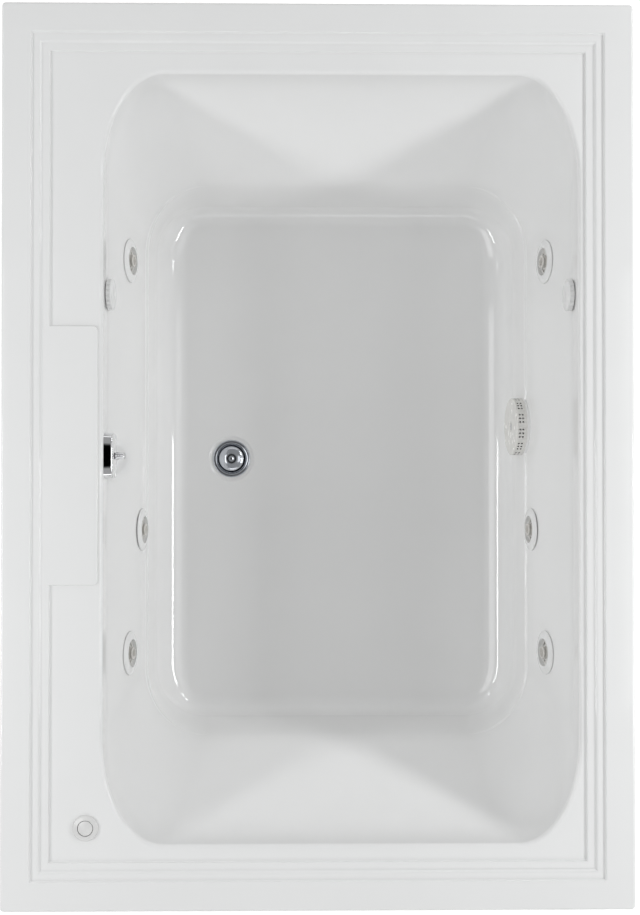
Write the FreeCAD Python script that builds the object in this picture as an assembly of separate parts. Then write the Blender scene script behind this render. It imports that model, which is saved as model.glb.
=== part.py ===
import FreeCAD, Part
import math
import os

Vector = FreeCAD.Vector

# Jetted bathtub, drop-in, two backrests. Millimetres, +Z up.
# Origin: middle of the bounding box, on the surface that the foot pads stand on.
# +X points away from the faucet side, +Y points away from the pump end.

# ---------------------------------------------------------------- overall
WIDTH = 1060.0
LENGTH = 1518.0
HEIGHT = 546.0
SKIN = 6.0                      # acrylic with its glass-fibre backing
RUNNING_GAP = 0.06              # radial play of a pin or shaft that turns in its hole
DOME_FLAT_R = 2.0               # small flat at the top of a turned dome
CLEAR = 0.5                     # room between parts that are only set together
THROUGH = 80.0                  # length of a tool that passes right through a wall
# bulge of a turned outline's arcs, as a part of the chord
ROUND_BULGE = 0.2
SOFT_BULGE = 0.1
CROWN_BULGE = 0.05
FACE_BULGE = 0.03

# rim moulding: an outer frame, then steps down to the deck
FRAME_WIDTH = 50.0
STEP_PITCH = 15.0
STEP_DROP = 4.0
STEP_RUNS = (5.0, 9.0, 4.0)     # width of each rounded step, outermost first
STEP_COUNT = len(STEP_RUNS)
MOULDING_WIDTH = 88.0
LIP_DEPTH = 44.0
LIP_ROUND = 5.0
OUTER_CORNER = 7.0
DECK_Z = HEIGHT - STEP_COUNT * STEP_DROP

# faucet panel, flush with the second tread
PANEL_LEFT = -457.0
PANEL_RIGHT = -369.5
PANEL_HALF_LENGTH = 217.0
PANEL_CORNER = 8.0
PANEL_EDGE = 1.6

# basin opening at deck level
BASIN_X = 38.0
BASIN_Y = -4.0
HALF_X = 400.0
HALF_Y = 647.0
RIM_ROUND = 7.0
DECK_DEPTH = HEIGHT - DECK_Z
FLOOR_DEPTH = 432.0
FLOOR_Z = HEIGHT - FLOOR_DEPTH
FLOOR_ROUND = 38.0
# walls lean in by straight stretches joined with soft bends: depth, added slope, softness
SIDE_BENDS = ((DECK_DEPTH - 40.0, 0.01, 1.0), (70.0, 0.20, 8.0), (265.0, -0.11, 15.0), (317.0, 0.325, 6.0))
END_BENDS = ((DECK_DEPTH - 40.0, 0.04, 1.0), (62.0, 0.39, 18.0))
# reach of the corner curves along X and Y: at the deck, then its change with the depth and the depth squared
CORNER_REACH_X = (102.0, 66.0, -80.0)
CORNER_REACH_Y = (176.0, -40.0, -46.0)
ELLIPSE_PULL = 0.5523           # handle length that makes a quarter ellipse of a Bezier curve
SECTION_STEP = 12.0             # spacing of the basin's drawn sections
OUTER_STEP = 21.3

# ---------------------------------------------------------------- support
PAD_HEIGHT = 4.0
PAD_LENGTH = 90.0
PAD_WIDTH = 34.0
PAD_INSET = 56.0
PAD_CORNER = 6.0
BEARER_HEIGHT = 86.0
BEARER_WIDTH = 38.0
BEARER_INSET = 6.0
BEARER_CHAMFER = 2.0
BOARD_THICK = 18.0
BOARD_TOP = FLOOR_Z - SKIN
BOARD_LEFT = -240.0
BOARD_RIGHT = 318.0
BOARD_FRONT = -742.0
BOARD_BACK = 470.0
BOARD_CORNER = 20.0
WASTE_SLOT_HALF = 56.0          # slot in the board for the waste
BEARER_Y = (-700.0, -400.0, -130.0, 130.0, 400.0)
RAIL_WIDTH = 38.0
RAIL_HEIGHT = 22.0
RAIL_GAP = 2.0

# ---------------------------------------------------------------- wall fittings
# heights on a fitting are measured from the inside of the wall, positive into the basin
SIDES = (("left", -1), ("right", 1))
SEAT = 0.6                      # spot face depth inside
BACK = 5.2                      # wall back face, behind the inside surface

# jets
JET_DEPTH_END = 195.0
JET_DEPTH_MIDDLE = 270.0
JET_SPOTS = (("head", 352.0, JET_DEPTH_END), ("middle", -132.5, JET_DEPTH_MIDDLE),
             ("foot", -351.0, JET_DEPTH_END))
JET_FLANGE_R = 39.0
JET_CREST_Z = 6.2
JET_HOLE_R = 28.0
JET_BARREL_R = 27.5
JET_BARREL_FOOT = -24.0
JET_BORE_R = 24.6
JET_SHELF_Z = -9.0              # shelf that the turning ring lies on
JET_THROAT_R = 15.0
JET_RING_R = 24.3
JET_RING_Z = -1.0
JET_RING_FOOT = -8.5
JET_SPOKES = 8
JET_BALL_R = 11.6
JET_BALL_Z = -4.0
JET_SOCKET_R = 11.95
JET_PIN_R = 1.6
JET_PIN_END = 13.6
JET_NOZZLE_BORE = 5.6
JET_CLAMP_R = 36.0
JET_GASKET_THICK = 3.0
JET_CHAMBER_R = 32.0
JET_TEE_Z = -40.0
JET_TEE_HALF = 48.0
JET_TEE_R = 17.5
JET_COLLAR_R = 20.0
JET_COLLAR_LENGTH = 14.0
JET_AIR_Z = -22.0
JET_AIR_Y = 46.0
WATER_R = 13.35
WATER_BORE = 10.5
HOSE_SEAT = 20.0                # depth that a hose goes into its socket
LEAD_SHARE = 0.3                # straight lead of a hose, as a part of its run
SIDE_BEND_R = 52.0
END_BEND_R = 70.0

# air controls
AIR_Y = 276.0
FITTING_DEPTH = 64.0
AIR_KNOB_R = 27.0
AIR_KNOB_WALL = 1.8
AIR_KNOB_TOP = 12.6
AIR_KNOB_UNDER = 5.4
AIR_GRIPS = 18
AIR_GRIP_R = 1.6
AIR_GRIP_OUT = 0.7              # middle of a finger groove outside the dial's edge
AIR_FLANGE_R = 23.0
AIR_SEAT_R = 24.0
AIR_HOLE_R = 15.0
AIR_THREAD_R = AIR_HOLE_R - CLEAR
AIR_STEM_R = 12.0
AIR_BORE_R = 7.0
AIR_FOOT = -46.0
AIR_ELBOW_Z = -38.0
AIR_ELBOW_R = 9.0
AIR_ELBOW_END = -34.0
AIR_NUT_R = 22.0
AIR_NUT_THICK = 9.0
AIR_TRUNK_R = 9.0
AIR_BRANCH_R = 6.5
AIR_FEED_R = 5.0
AIR_TRUNK_OFFSET = 478.0
AIR_TRUNK_Z = 432.0
AIR_TRUNK_HEAD = AIR_Y + 110.0
AIR_TRUNK_FOOT = -384.0
AIR_BRANCH_BEND = 16.0
AIR_FEED_BEND = 14.0

# suction fitting
SUCTION_Y = 59.0
SUCTION_DEPTH = 330.0
SUCTION_SLOPE = 0.30
SUCTION_PAD_RAISE = 6.2
SUCTION_PAD_R = 53.0
SUCTION_PAD_THICK = 12.0
SUCTION_COVER_R = 53.5
SUCTION_COVER_H = 25.0
SUCTION_COVER_WALL = 2.6
SUCTION_HOLE_GROUPS = 12
SUCTION_HOLE_TURN = 7.0         # degrees between the holes of a group
SUCTION_HOLE_ROWS = (7.5, 13.0)
SUCTION_INLET_R = 1.3
SUCTION_POST_R = 7.0
SUCTION_POST_TOP = 10.0
SUCTION_SCREW_R = 2.7
SUCTION_SCREW_HEAD_R = 6.4
SUCTION_SCREW_SINK = 3.4
SUCTION_HOLE_R = 30.5
SUCTION_BORE_R = 24.0
SUCTION_FLANGE_R = 46.0
SUCTION_FOOT = -54.0
SUCTION_NUT_R = 42.0
SUCTION_NUT_THICK = 12.0
SUCTION_NUT_LUGS = 8
SUCTION_LUG_R = 4.0
SUCTION_PIPE_R = 24.0
SUCTION_PIPE_BORE = 20.0
SUCTION_PIPE_X = 478.0
SUCTION_PIPE_BEND = 34.0
SUCTION_HUB_R = 30.0

# ---------------------------------------------------------------- drain and overflow
DRAIN_X = -163.0
DRAIN_RECESS_R = 44.0
DRAIN_RECESS_DEPTH = 3.0
DRAIN_RECESS_TAPER = 4.0
DRAIN_BOSS_R = DRAIN_RECESS_R + 4.0
DRAIN_BOSS_DROP = 3.0
DRAIN_FLANGE_R = 36.5
DRAIN_THROAT_R = 20.0
DRAIN_BARREL_R = 23.0
DRAIN_BARREL_LENGTH = 42.0
DRAIN_DISH_R = 28.0
DRAIN_GASKET_R = 40.0
DRAIN_GASKET_THICK = 4.0
STOPPER_R = 23.6
STOPPER_PLUG_R = 20.2
STOPPER_STEM_R = 3.2
WASTE_Z = 62.0
WASTE_R = 19.5
WASTE_BORE = 17.5
WASTE_COLLAR_R = 24.0
WASTE_HUB_R = 23.0
WASTE_FOOT = 2.0
WASTE_BRANCH = 46.0
WASTE_NECK = 56.0
WASTE_SEAT = 16.0               # depth that a tube goes into its collar
NUT_R = 28.5
NUT_HEIGHT = 18.0
NUT_RIBS = 12
TUBE_X = -402.0
PLATE_R = 40.0
PLATE_PROUD = 9.0
PLATE_FLAT_R = 12.0
PLATE_THICK = 2.0
PLATE_SCREW_Y = 24.0
PLATE_SCREW_R = 2.4
PLATE_HOLE_R = 2.6
PLATE_LUG = 3.5
OVERFLOW_HOLE_R = 27.5
OVERFLOW_LAP = 36.0             # depth that the tube goes up into the elbow, below its turn
OVERFLOW_FACE_R = 34.0
OVERFLOW_GASKET_THICK = 6.0
OVERFLOW_FACE_THICK = 4.0
OVERFLOW_THROAT_R = 20.0
OVERFLOW_NECK_R = 23.0
OVERFLOW_NECK_FOOT = -66.0
OVERFLOW_CROWN_R = 9.0
OVERFLOW_CROWN_Z = 24.0
LEVER_ANGLE = 24.0
LEVER_PIVOT_X = -355.0
LEVER_PIN_R = 1.6
LEVER_SLOT_HALF = 5.6
LEVER_SLOT_REACH = 13.0
LEVER_ARM_R = 2.6
LEVER_NECK_R = 3.0
LEVER_COLLAR_R = 7.4
LEVER_GRIP_R = 6.3
LEVER_GRIP_ROUND = 2.2
LEVER_COLLAR_START = 11.5
LEVER_COLLAR_END = 14.1
LEVER_GRIP_END = 26.5
LEVER_CHEEK = 3.4
LEVER_CHEEK_HALF = 5.0
LEVER_NOTCH_HALF = 1.7
FITTING_Z = HEIGHT - FITTING_DEPTH
ROD_R = 2.2
ROD_EYE_R = 6.4
ROD_EYE_HOLE_R = 4.2
ROD_EYE_HALF = 1.2
ROD_COILS = 9
ROD_COIL_PITCH = 3.2
ROD_COIL_R = 6.2
ROD_WIRE_R = 1.7
ROCKER_PIVOT_X = -236.0
LEVER_ARM = LEVER_PIVOT_X - TUBE_X
ROD_TRAVEL = 2 * LEVER_ARM * math.tan(math.radians(LEVER_ANGLE / 2))
ROCKER_REACH = ROCKER_PIVOT_X - TUBE_X
ROCKER_HALF_ANGLE = math.degrees(math.asin(ROD_TRAVEL / 2 / ROCKER_REACH))
STOPPER_ARM = DRAIN_X - ROCKER_PIVOT_X
STOPPER_LIFT = 2 * STOPPER_ARM * math.sin(math.radians(ROCKER_HALF_ANGLE))
ROCKER_TIP_DROP = 4.6
ROCKER_TIP_R = 3.6
ROCKER_TAIL_R = 3.4
ROCKER_WIRE_R = 2.4
ROCKER_EYE_R = 5.5
ROCKER_EYE_HALF = 4.0
ROCKER_PIN_R = 2.0
ROCKER_LASH = 0.4               # play between the stopper's stem and the rocker's tip
ROD_SEAT = 4.4                  # foot of the rod above the middle of the rocker's tail

# ---------------------------------------------------------------- air switch
SWITCH_X = -389.0
SWITCH_Y = -622.0
SWITCH_HOLE_R = 17.0
SWITCH_BEZEL_R = 22.5
SWITCH_BEZEL_TOP = 3.2
SWITCH_BODY_R = 16.0
SWITCH_BODY_FOOT = 34.0         # lengths below the deck
SWITCH_NIPPLE_FOOT = 46.0
SWITCH_CHAMBER_FOOT = 31.0
SWITCH_CHAMBER_R = 10.5
SWITCH_NIPPLE_R = 3.0
SWITCH_NIPPLE_BORE = 2.0
SWITCH_BUTTON_R = 12.5
SWITCH_BUTTON_TOP = 3.8
SWITCH_STUD_R = 4.0
SWITCH_WELL_R = 13.3
SWITCH_TRAVEL = 5.0
SWITCH_SKIRT = 7.0
SWITCH_COILS = 6
SWITCH_COIL_PITCH = 4.4
SWITCH_COIL_R = 7.0
SWITCH_WIRE_R = 0.7
SWITCH_NUT_R = 25.0
SWITCH_NUT_THICK = 8.0
SWITCH_TUBE_R = 4.5
SWITCH_TUBE_BORE = 3.0
SWITCH_TUBE_BEND = 45.0

# ---------------------------------------------------------------- pump
PUMP_Y = -650.0
PUMP_Z = 203.0
VOLUTE_X0 = 206.0
VOLUTE_X1 = 258.0
VOLUTE_MIDDLE = (VOLUTE_X0 + VOLUTE_X1) / 2
VOLUTE_R_MIN = 62.0
VOLUTE_R_MAX = 80.0
VOLUTE_WALL = 12.0
SPIRAL_STEPS = 24
PUMP_FLANGE_R = 82.0
PUMP_FLANGE_THICK = 10.0
PUMP_BOLTS = 6
PUMP_BOLT_R = 4.6
PUMP_BOLT_HEAD = 5.0
MOTOR_X0 = -60.0
MOTOR_X1 = 194.0
MOTOR_R = 66.0
MOTOR_WALL = 18.0
MOTOR_END_THICK = 10.0
FIN_COUNT = 28
FIN_HEIGHT = 4.0
FIN_FOOT = 0.28                 # half width of a fin at its foot, as a part of the pitch
FIN_TIP = 0.18
COVER_LENGTH = 44.0
COVER_WALL = 2.0
COVER_FACE = 3.0
COVER_ROUND = 8.0
COVER_LAP = 12.0
COVER_SLOTS = 12
SHAFT_R = 7.0
ROTOR_R = 30.0
ROTOR_INSET = 60.0
IMPELLER_R = 50.0
IMPELLER_BLADES = 6
IMPELLER_EYE_R = 20.0
IMPELLER_BACK = 2.0             # heights from the seal plate
IMPELLER_FRONT = 21.5
IMPELLER_HUB_END = 26.0
IMPELLER_PLATE = 2.5
BLADE_R = 21.0
BLADE_THICK = 2.4
BLADE_CENTRE_R = 34.0
FAN_R = 52.0
FAN_BLADES = 8
FAN_LENGTH = 14.0
FAN_INSET = 26.0
OUTLET_Y = PUMP_Y - 56.0
OUTLET_Z = 310.0
OUTLET_R = 24.0
OUTLET_BORE = 18.0
INLET_X = 292.0
INLET_R = 30.0
RISER_R = 21.0
RISER_BORE = 16.0
RISER_TEE_R = 18.0
RISER_TEE_HALF = 42.0
UNION_R = 36.0
UNION_RIBS = 10
INLET_UNION = 26.0
OUTLET_UNION = 22.0
FOOT_LEFT = -20.0
FOOT_RIGHT = 160.0
FOOT_HALF = 70.0
FOOT_THICK = 6.0
FOOT_RIB_HALF = 52.0
FOOT_RIBS = (0.0, 66.0, 132.0)
FOOT_RIB_THICK = 8.0
FOOT_HOLE_R = 4.0
FOOT_HOLE_INSET = 12.0
FOOT_HOLE_Y = 60.0
CASE_LEFT = 10.0
CASE_RIGHT = 130.0
CASE_HALF = 44.0
CASE_HEIGHT = 62.0
CASE_ROUND = 6.0
CASE_SINK = 4.0                 # depth that the case saddles the motor
GLAND_R = 11.0
GLAND_BORE = 5.0
GLAND_LENGTH = 16.0
GLAND_Y = 14.0
GLAND_HEIGHT = 34.0


# ================================================================ small tools
def export(shape, node):
    """Write one node's solids to its STEP file."""
    shape.exportStep("parts/%s.step" % node)


def fuse(shapes):
    """Join several solids into one clean solid."""
    return shapes[0].multiFuse(shapes[1:]).removeSplitter()


def group(shapes):
    """Keep several separate solids together as one node."""
    return Part.makeCompound(shapes)


def box(low, high):
    """Box between two corners."""
    size = [b - a for a, b in zip(low, high)]
    return Part.makeBox(size[0], size[1], size[2], Vector(*low))


def rod(start, end, radius):
    """Round bar between two points."""
    axis = end.sub(start)
    return Part.makeCylinder(radius, axis.Length, start, axis)


def along_y(middle, half, radius):
    """Round bar along Y about a point."""
    return rod(middle.sub(Vector(0, half, 0)), middle.add(Vector(0, half, 0)), radius)


def upright_edges(solid):
    """Edges of a block that run straight up."""
    return [e for e in solid.Edges
            if e.BoundBox.ZLength > 1 and e.BoundBox.XLength + e.BoundBox.YLength < 0.01]


def lathe(outline):
    """Revolve a closed (radius, height) outline about Z. A third value bulges the edge after the point."""
    edges = []
    for here, after in zip(outline, outline[1:] + outline[:1]):
        start = Vector(here[0], 0, here[1])
        end = Vector(after[0], 0, after[1])
        if start.distanceToPoint(end) < 1e-7:
            continue
        if len(here) == 3:
            chord = end.sub(start)
            side = Vector(chord.z, 0, -chord.x)
            middle = start.add(chord.multiply(0.5)).add(side.multiply(here[2]))
            edges.append(Part.Arc(start, middle, end).toShape())
        else:
            edges.append(Part.LineSegment(start, end).toShape())
    face = Part.Face(Part.Wire(edges))
    return face.revolve(Vector(0, 0, 0), Vector(0, 0, 1), 360)


def ring(inner, outer, low, high):
    """Plain washer about Z."""
    return lathe([(inner, low), (outer, low), (outer, high), (inner, high)])


def placed(shape, placement):
    """Copy of a shape at a placement."""
    copy = shape.copy()
    copy.Placement = placement.multiply(copy.Placement)
    return copy


def bent_path(points, radius):
    """Straight runs joined by tangent arcs through the corner points."""
    edges = []
    start = points[0]
    for before, corner, after in zip(points, points[1:], points[2:]):
        back = before.sub(corner).normalize()
        ahead = after.sub(corner).normalize()
        half = back.getAngle(ahead) / 2
        trim = radius / math.tan(half)
        arc_in = corner.add(Vector(back).multiply(trim))
        arc_out = corner.add(Vector(ahead).multiply(trim))
        inward = back.add(ahead).normalize()
        middle = corner.add(inward.multiply(radius / math.sin(half) - radius))
        edges.append(Part.LineSegment(start, arc_in).toShape())
        edges.append(Part.Arc(arc_in, middle, arc_out).toShape())
        start = arc_out
    edges.append(Part.LineSegment(start, points[-1]).toShape())
    return Part.Wire(edges)


def swept(path, radius):
    """Round bar along a path."""
    start = path.Edges[0].firstVertex().Point
    along = path.Edges[0].tangentAt(path.Edges[0].FirstParameter)
    circle = Part.Wire(Part.makeCircle(radius, start, along))
    return path.makePipeShell([circle], True, False)


def pipe(points, bend, outer, inner):
    """Hollow pipe with bends."""
    path = bent_path(points, bend)
    return swept(path, outer).cut(swept(path, inner))


def polar(radius, degrees):
    """Point on a circle about Z."""
    turn = math.radians(degrees)
    return Vector(radius * math.cos(turn), radius * math.sin(turn), 0)


# ================================================================ basin form
def lean(depth, bends):
    """How far a wall stands inside the rim opening at a depth below the rim top."""
    total = 0.0
    for start, slope, soft in bends:
        total += slope * soft * math.log1p(math.exp((depth - start) / soft))
        total -= slope * soft * math.log1p(math.exp((DECK_DEPTH - start) / soft))
    return total


def lean_slope(depth, bends):
    """Slope of the wall at a depth: inward per downward."""
    return sum(slope / (1 + math.exp((start - depth) / soft)) for start, slope, soft in bends)


def corner_reach(law, part):
    """Reach of a corner curve from its deck value and the part of the depth."""
    start, linear, squared = law
    return start + linear * part + squared * part * part


def corner_edge(start, corner, end):
    """Quarter of an ellipse between two sides."""
    curve = Part.BezierCurve()
    handle_in = start.add(corner.sub(start).multiply(ELLIPSE_PULL))
    handle_out = end.add(corner.sub(end).multiply(ELLIPSE_PULL))
    curve.setPoles([start, handle_in, handle_out, end])
    return curve.toShape()


def basin_section(depth, grow, z):
    """Closed outline of the basin at one depth: four sides and four elliptical corners."""
    part = (depth - DECK_DEPTH) / (FLOOR_DEPTH - DECK_DEPTH)
    half_x = HALF_X - lean(depth, SIDE_BENDS) + grow
    half_y = HALF_Y - lean(depth, END_BENDS) + grow
    corner_x = corner_reach(CORNER_REACH_X, part) + grow
    corner_y = corner_reach(CORNER_REACH_Y, part) + grow
    edges = []
    for sx, sy in ((1, 1), (-1, 1), (-1, -1), (1, -1)):
        on_side = Vector(BASIN_X + sx * half_x, BASIN_Y + sy * (half_y - corner_y), z)
        on_end = Vector(BASIN_X + sx * (half_x - corner_x), BASIN_Y + sy * half_y, z)
        tip = Vector(BASIN_X + sx * half_x, BASIN_Y + sy * half_y, z)
        first, last = (on_side, on_end) if sx * sy > 0 else (on_end, on_side)
        edges.append((first, tip, last))
    outline = []
    for index, (first, tip, last) in enumerate(edges):
        outline.append(corner_edge(first, tip, last))
        outline.append(Part.LineSegment(last, edges[(index + 1) % 4][0]).toShape())
    return Part.Wire(outline)


def basin_form(spacing, grow, floor_round):
    """Solid that fills the basin down to its floor, with the floor fillet."""
    floor_z = FLOOR_Z - grow
    count = round((DECK_Z - floor_z) / spacing)
    wires = []
    for index in range(count + 1):
        z = DECK_Z + (floor_z - DECK_Z) * index / count
        wires.append(basin_section(HEIGHT - z, grow, z))
    solid = Part.makeLoft(wires, True, False)
    low_edges = [e for e in solid.Edges if e.BoundBox.ZMax < floor_z + 0.01]
    return solid.makeFillet(floor_round, low_edges)


# ================================================================ shell
def moulding_profile():
    """Cross-section of the rim: (distance in from the outer edge, height), as edges in the XZ plane."""
    def at(inward, z):
        return Vector(WIDTH / 2 - inward, -LENGTH / 2, z)

    edges = []

    def line(a, b):
        edges.append(Part.LineSegment(a, b).toShape())

    def arc(a, centre_in, centre_z, b, radius, turn):
        mid = at(centre_in - radius * math.cos(math.radians(turn)),
                 centre_z + radius * math.sin(math.radians(turn)))
        edges.append(Part.Arc(a, mid, b).toShape())

    lip_foot = at(0, HEIGHT - LIP_DEPTH)
    here = at(0, HEIGHT - LIP_ROUND)
    line(lip_foot, here)
    top = at(LIP_ROUND, HEIGHT)
    arc(here, LIP_ROUND, HEIGHT - LIP_ROUND, top, LIP_ROUND, 45)
    here = top
    z = HEIGHT
    for step, run in enumerate(STEP_RUNS):
        middle = FRAME_WIDTH + step * STEP_PITCH
        radius = (run * run + STEP_DROP * STEP_DROP) / (4 * STEP_DROP)
        lean_angle = math.degrees(math.atan(STEP_DROP / run))
        start = at(middle - run / 2, z)
        line(here, start)
        half = at(middle, z - STEP_DROP / 2)
        arc(start, middle - run / 2, z - radius, half, radius, 90 + lean_angle)
        foot = at(middle + run / 2, z - STEP_DROP)
        arc(half, middle + run / 2, z - STEP_DROP + radius, foot, radius, -90 + lean_angle)
        here = foot
        z -= STEP_DROP
    inner = at(MOULDING_WIDTH, z)
    line(here, inner)
    under = at(MOULDING_WIDTH, z - SKIN)
    line(inner, under)
    here = under
    for step in reversed(range(STEP_COUNT)):
        edge_in = FRAME_WIDTH + step * STEP_PITCH - STEP_RUNS[step] / 2
        low = at(edge_in, z - SKIN)
        line(here, low)
        z += STEP_DROP
        here = at(edge_in, z - SKIN)
        line(low, here)
    back = at(SKIN, HEIGHT - SKIN)
    line(here, back)
    foot = at(SKIN, HEIGHT - LIP_DEPTH)
    line(back, foot)
    line(foot, lip_foot)
    return Part.Face(Part.Wire(edges))


def mitre_wedge(half_run, half_cross):
    """Trapezium prism that gives a frame member on +X, running along Y, its 45 degree ends."""
    reach = MOULDING_WIDTH
    points = [Vector(half_cross, -half_run, 0), Vector(half_cross, half_run, 0),
              Vector(half_cross - reach, half_run - reach, 0),
              Vector(half_cross - reach, -half_run + reach, 0)]
    face = Part.Face(Part.makePolygon(points + points[:1]))
    return face.extrude(Vector(0, 0, HEIGHT))


def frame_members():
    """Four mitred members of the stepped rim."""
    profile = moulding_profile()
    side = profile.extrude(Vector(0, LENGTH, 0)).common(mitre_wedge(LENGTH / 2, WIDTH / 2))
    turned = profile.copy()
    turned.translate(Vector(-WIDTH / 2, LENGTH / 2, 0))
    turned.rotate(Vector(0, 0, 0), Vector(0, 0, 1), 90)
    turned.translate(Vector(WIDTH / 2, LENGTH / 2, 0))
    end = turned.extrude(Vector(-WIDTH, 0, 0))
    wedge = mitre_wedge(WIDTH / 2, LENGTH / 2)
    wedge.rotate(Vector(0, 0, 0), Vector(0, 0, 1), 90)
    end = end.common(wedge)
    members = []
    for member in (side, end):
        opposite = member.copy()
        opposite.rotate(Vector(0, 0, 0), Vector(0, 0, 1), 180)
        members += [member, opposite]
    return members


def faucet_panel():
    """Raised panel on the left deck, flush with the second tread."""
    top = DECK_Z + STEP_DROP
    slab = box((PANEL_LEFT, -PANEL_HALF_LENGTH, DECK_Z - 1), (PANEL_RIGHT, PANEL_HALF_LENGTH, top))
    corners = [e for e in upright_edges(slab) if e.BoundBox.XMin > PANEL_LEFT + 1]
    slab = slab.makeFillet(PANEL_CORNER, corners)
    rims = [e for e in slab.Edges if e.BoundBox.ZMin > top - 0.01 and e.BoundBox.XMax > PANEL_LEFT + 1]
    return slab.makeFillet(PANEL_EDGE, rims)


def rounded_block():
    """Outer outline of the tub with its small corner radius."""
    block = box((-WIDTH / 2, -LENGTH / 2, 0), (WIDTH / 2, LENGTH / 2, HEIGHT))
    return block.makeFillet(OUTER_CORNER, upright_edges(block))


def wall_place(side, y, depth):
    """Placement on the inside of a side wall: local Z points into the basin, local Y up the wall."""
    slope = lean_slope(depth, SIDE_BENDS)
    spot = Vector(BASIN_X + side * (HALF_X - lean(depth, SIDE_BENDS)), y, HEIGHT - depth)
    return tilted_place(side, spot, slope)


def tilted_place(side, spot, slope):
    """Placement at a point of a side wall that leans by a slope."""
    into = Vector(-side, 0, slope).normalize()
    up = Vector(side * slope, 0, 1).normalize()
    along = Vector(0, -side, 0)
    return FreeCAD.Placement(spot, FreeCAD.Rotation(along, up, into, "ZXY"))


def suction_place():
    """Placement on the flat suction pad of the right wall."""
    inset = lean(SUCTION_DEPTH, SIDE_BENDS) + SUCTION_PAD_RAISE
    spot = Vector(BASIN_X + HALF_X - inset, SUCTION_Y, HEIGHT - SUCTION_DEPTH)
    return tilted_place(1, spot, SUCTION_SLOPE)


def wall_seat(place, hole_r, front_r, back_r):
    """Tool that drills a wall and faces it flat on both sides."""
    hole = Part.makeCylinder(hole_r, THROUGH, Vector(0, 0, -THROUGH / 2))
    front = Part.makeCylinder(front_r, THROUGH / 4, Vector(0, 0, -SEAT))
    back = Part.makeCylinder(back_r, THROUGH / 4, Vector(0, 0, -BACK - THROUGH / 4))
    return [placed(tool, place) for tool in (hole, front, back)]


def jet_places():
    """Name and placement of each jet."""
    return [("%s_%s" % (side_name, spot_name), wall_place(side, y, depth))
            for side_name, side in SIDES for spot_name, y, depth in JET_SPOTS]


def air_places():
    """Placement of each air control."""
    return [(side_name, wall_place(side, AIR_Y, FITTING_DEPTH)) for side_name, side in SIDES]


def overflow_place():
    """Placement of the overflow plate."""
    return wall_place(-1, 0.0, FITTING_DEPTH)


def suction_seat(place):
    """Tools that drill the suction pad, free its rim for the cover and face the back for the nut."""
    hole = Part.makeCylinder(SUCTION_HOLE_R, THROUGH, Vector(0, 0, 10 - THROUGH))
    rim = Part.makeCylinder(SUCTION_COVER_R + CLEAR, 8)
    back = Part.makeCylinder(SUCTION_NUT_R + 5, THROUGH / 4, Vector(0, 0, -SUCTION_PAD_THICK - THROUGH / 4))
    return [placed(tool, place) for tool in (hole, rim, back)]


def drain_seat():
    """Tools for the tapered recess in the floor and the drain's hole."""
    recess = Part.makeCone(DRAIN_RECESS_R - DRAIN_RECESS_TAPER, DRAIN_RECESS_R, DRAIN_RECESS_DEPTH,
                           Vector(DRAIN_X, 0, FLOOR_Z - DRAIN_RECESS_DEPTH))
    hole = Part.makeCylinder(DRAIN_DISH_R + CLEAR, THROUGH, Vector(DRAIN_X, 0, FLOOR_Z - THROUGH / 2))
    return [recess, hole]


def tub_shell():
    """Deck, stepped frame, faucet panel and basin as one moulding with its fitting holes."""
    deck = box((-WIDTH / 2 + MOULDING_WIDTH, -LENGTH / 2 + MOULDING_WIDTH, DECK_Z - SKIN),
               (WIDTH / 2 - MOULDING_WIDTH, LENGTH / 2 - MOULDING_WIDTH, DECK_Z))
    outer = basin_form(OUTER_STEP, SKIN, FLOOR_ROUND + SKIN)
    suction = suction_place()
    pad = placed(Part.makeCylinder(SUCTION_PAD_R, SUCTION_PAD_THICK, Vector(0, 0, -SUCTION_PAD_THICK)),
                 suction)
    boss = Part.makeCylinder(DRAIN_BOSS_R, DRAIN_BOSS_DROP + 1,
                             Vector(DRAIN_X, 0, FLOOR_Z - SKIN - DRAIN_BOSS_DROP))
    body = fuse(frame_members() + [deck, faucet_panel()])
    body = body.common(rounded_block())
    body = body.fuse(outer)
    inner = basin_form(SECTION_STEP, 0.0, FLOOR_ROUND)
    mouth = Part.Face(basin_section(DECK_DEPTH, 0.0, DECK_Z)).extrude(Vector(0, 0, THROUGH / 2))
    body = body.cut(inner.fuse(mouth)).removeSplitter()
    body = body.makeFillet(RIM_ROUND, [edge for edge in body.Edges if inside_opening(edge)])
    body = body.fuse([pad, boss])
    tools = suction_seat(suction) + drain_seat()
    for _, place in jet_places():
        tools += wall_seat(place, JET_HOLE_R, JET_FLANGE_R + CLEAR, JET_CLAMP_R + 2)
    for _, place in air_places():
        tools += wall_seat(place, AIR_HOLE_R, AIR_SEAT_R, AIR_SEAT_R)
    tools += wall_seat(overflow_place(), OVERFLOW_HOLE_R, PLATE_R + CLEAR, OVERFLOW_FACE_R + 2)
    tools.append(Part.makeCylinder(SWITCH_HOLE_R, THROUGH / 2,
                                   Vector(SWITCH_X, SWITCH_Y, DECK_Z - THROUGH / 4)))
    return body.cut(tools)


def inside_opening(edge):
    """True for an edge of the deck that runs round the basin opening."""
    level = abs(edge.BoundBox.ZMin - DECK_Z) < 0.01 and abs(edge.BoundBox.ZMax - DECK_Z) < 0.01
    middle = edge.valueAt((edge.FirstParameter + edge.LastParameter) / 2)
    across = abs(middle.x - BASIN_X)
    along = abs(middle.y - BASIN_Y)
    within = across < HALF_X + 1 and along < HALF_Y + 1
    near_edge = across > HALF_X - CORNER_REACH_X[0] or along > HALF_Y - CORNER_REACH_Y[0]
    return level and within and near_edge


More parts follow.
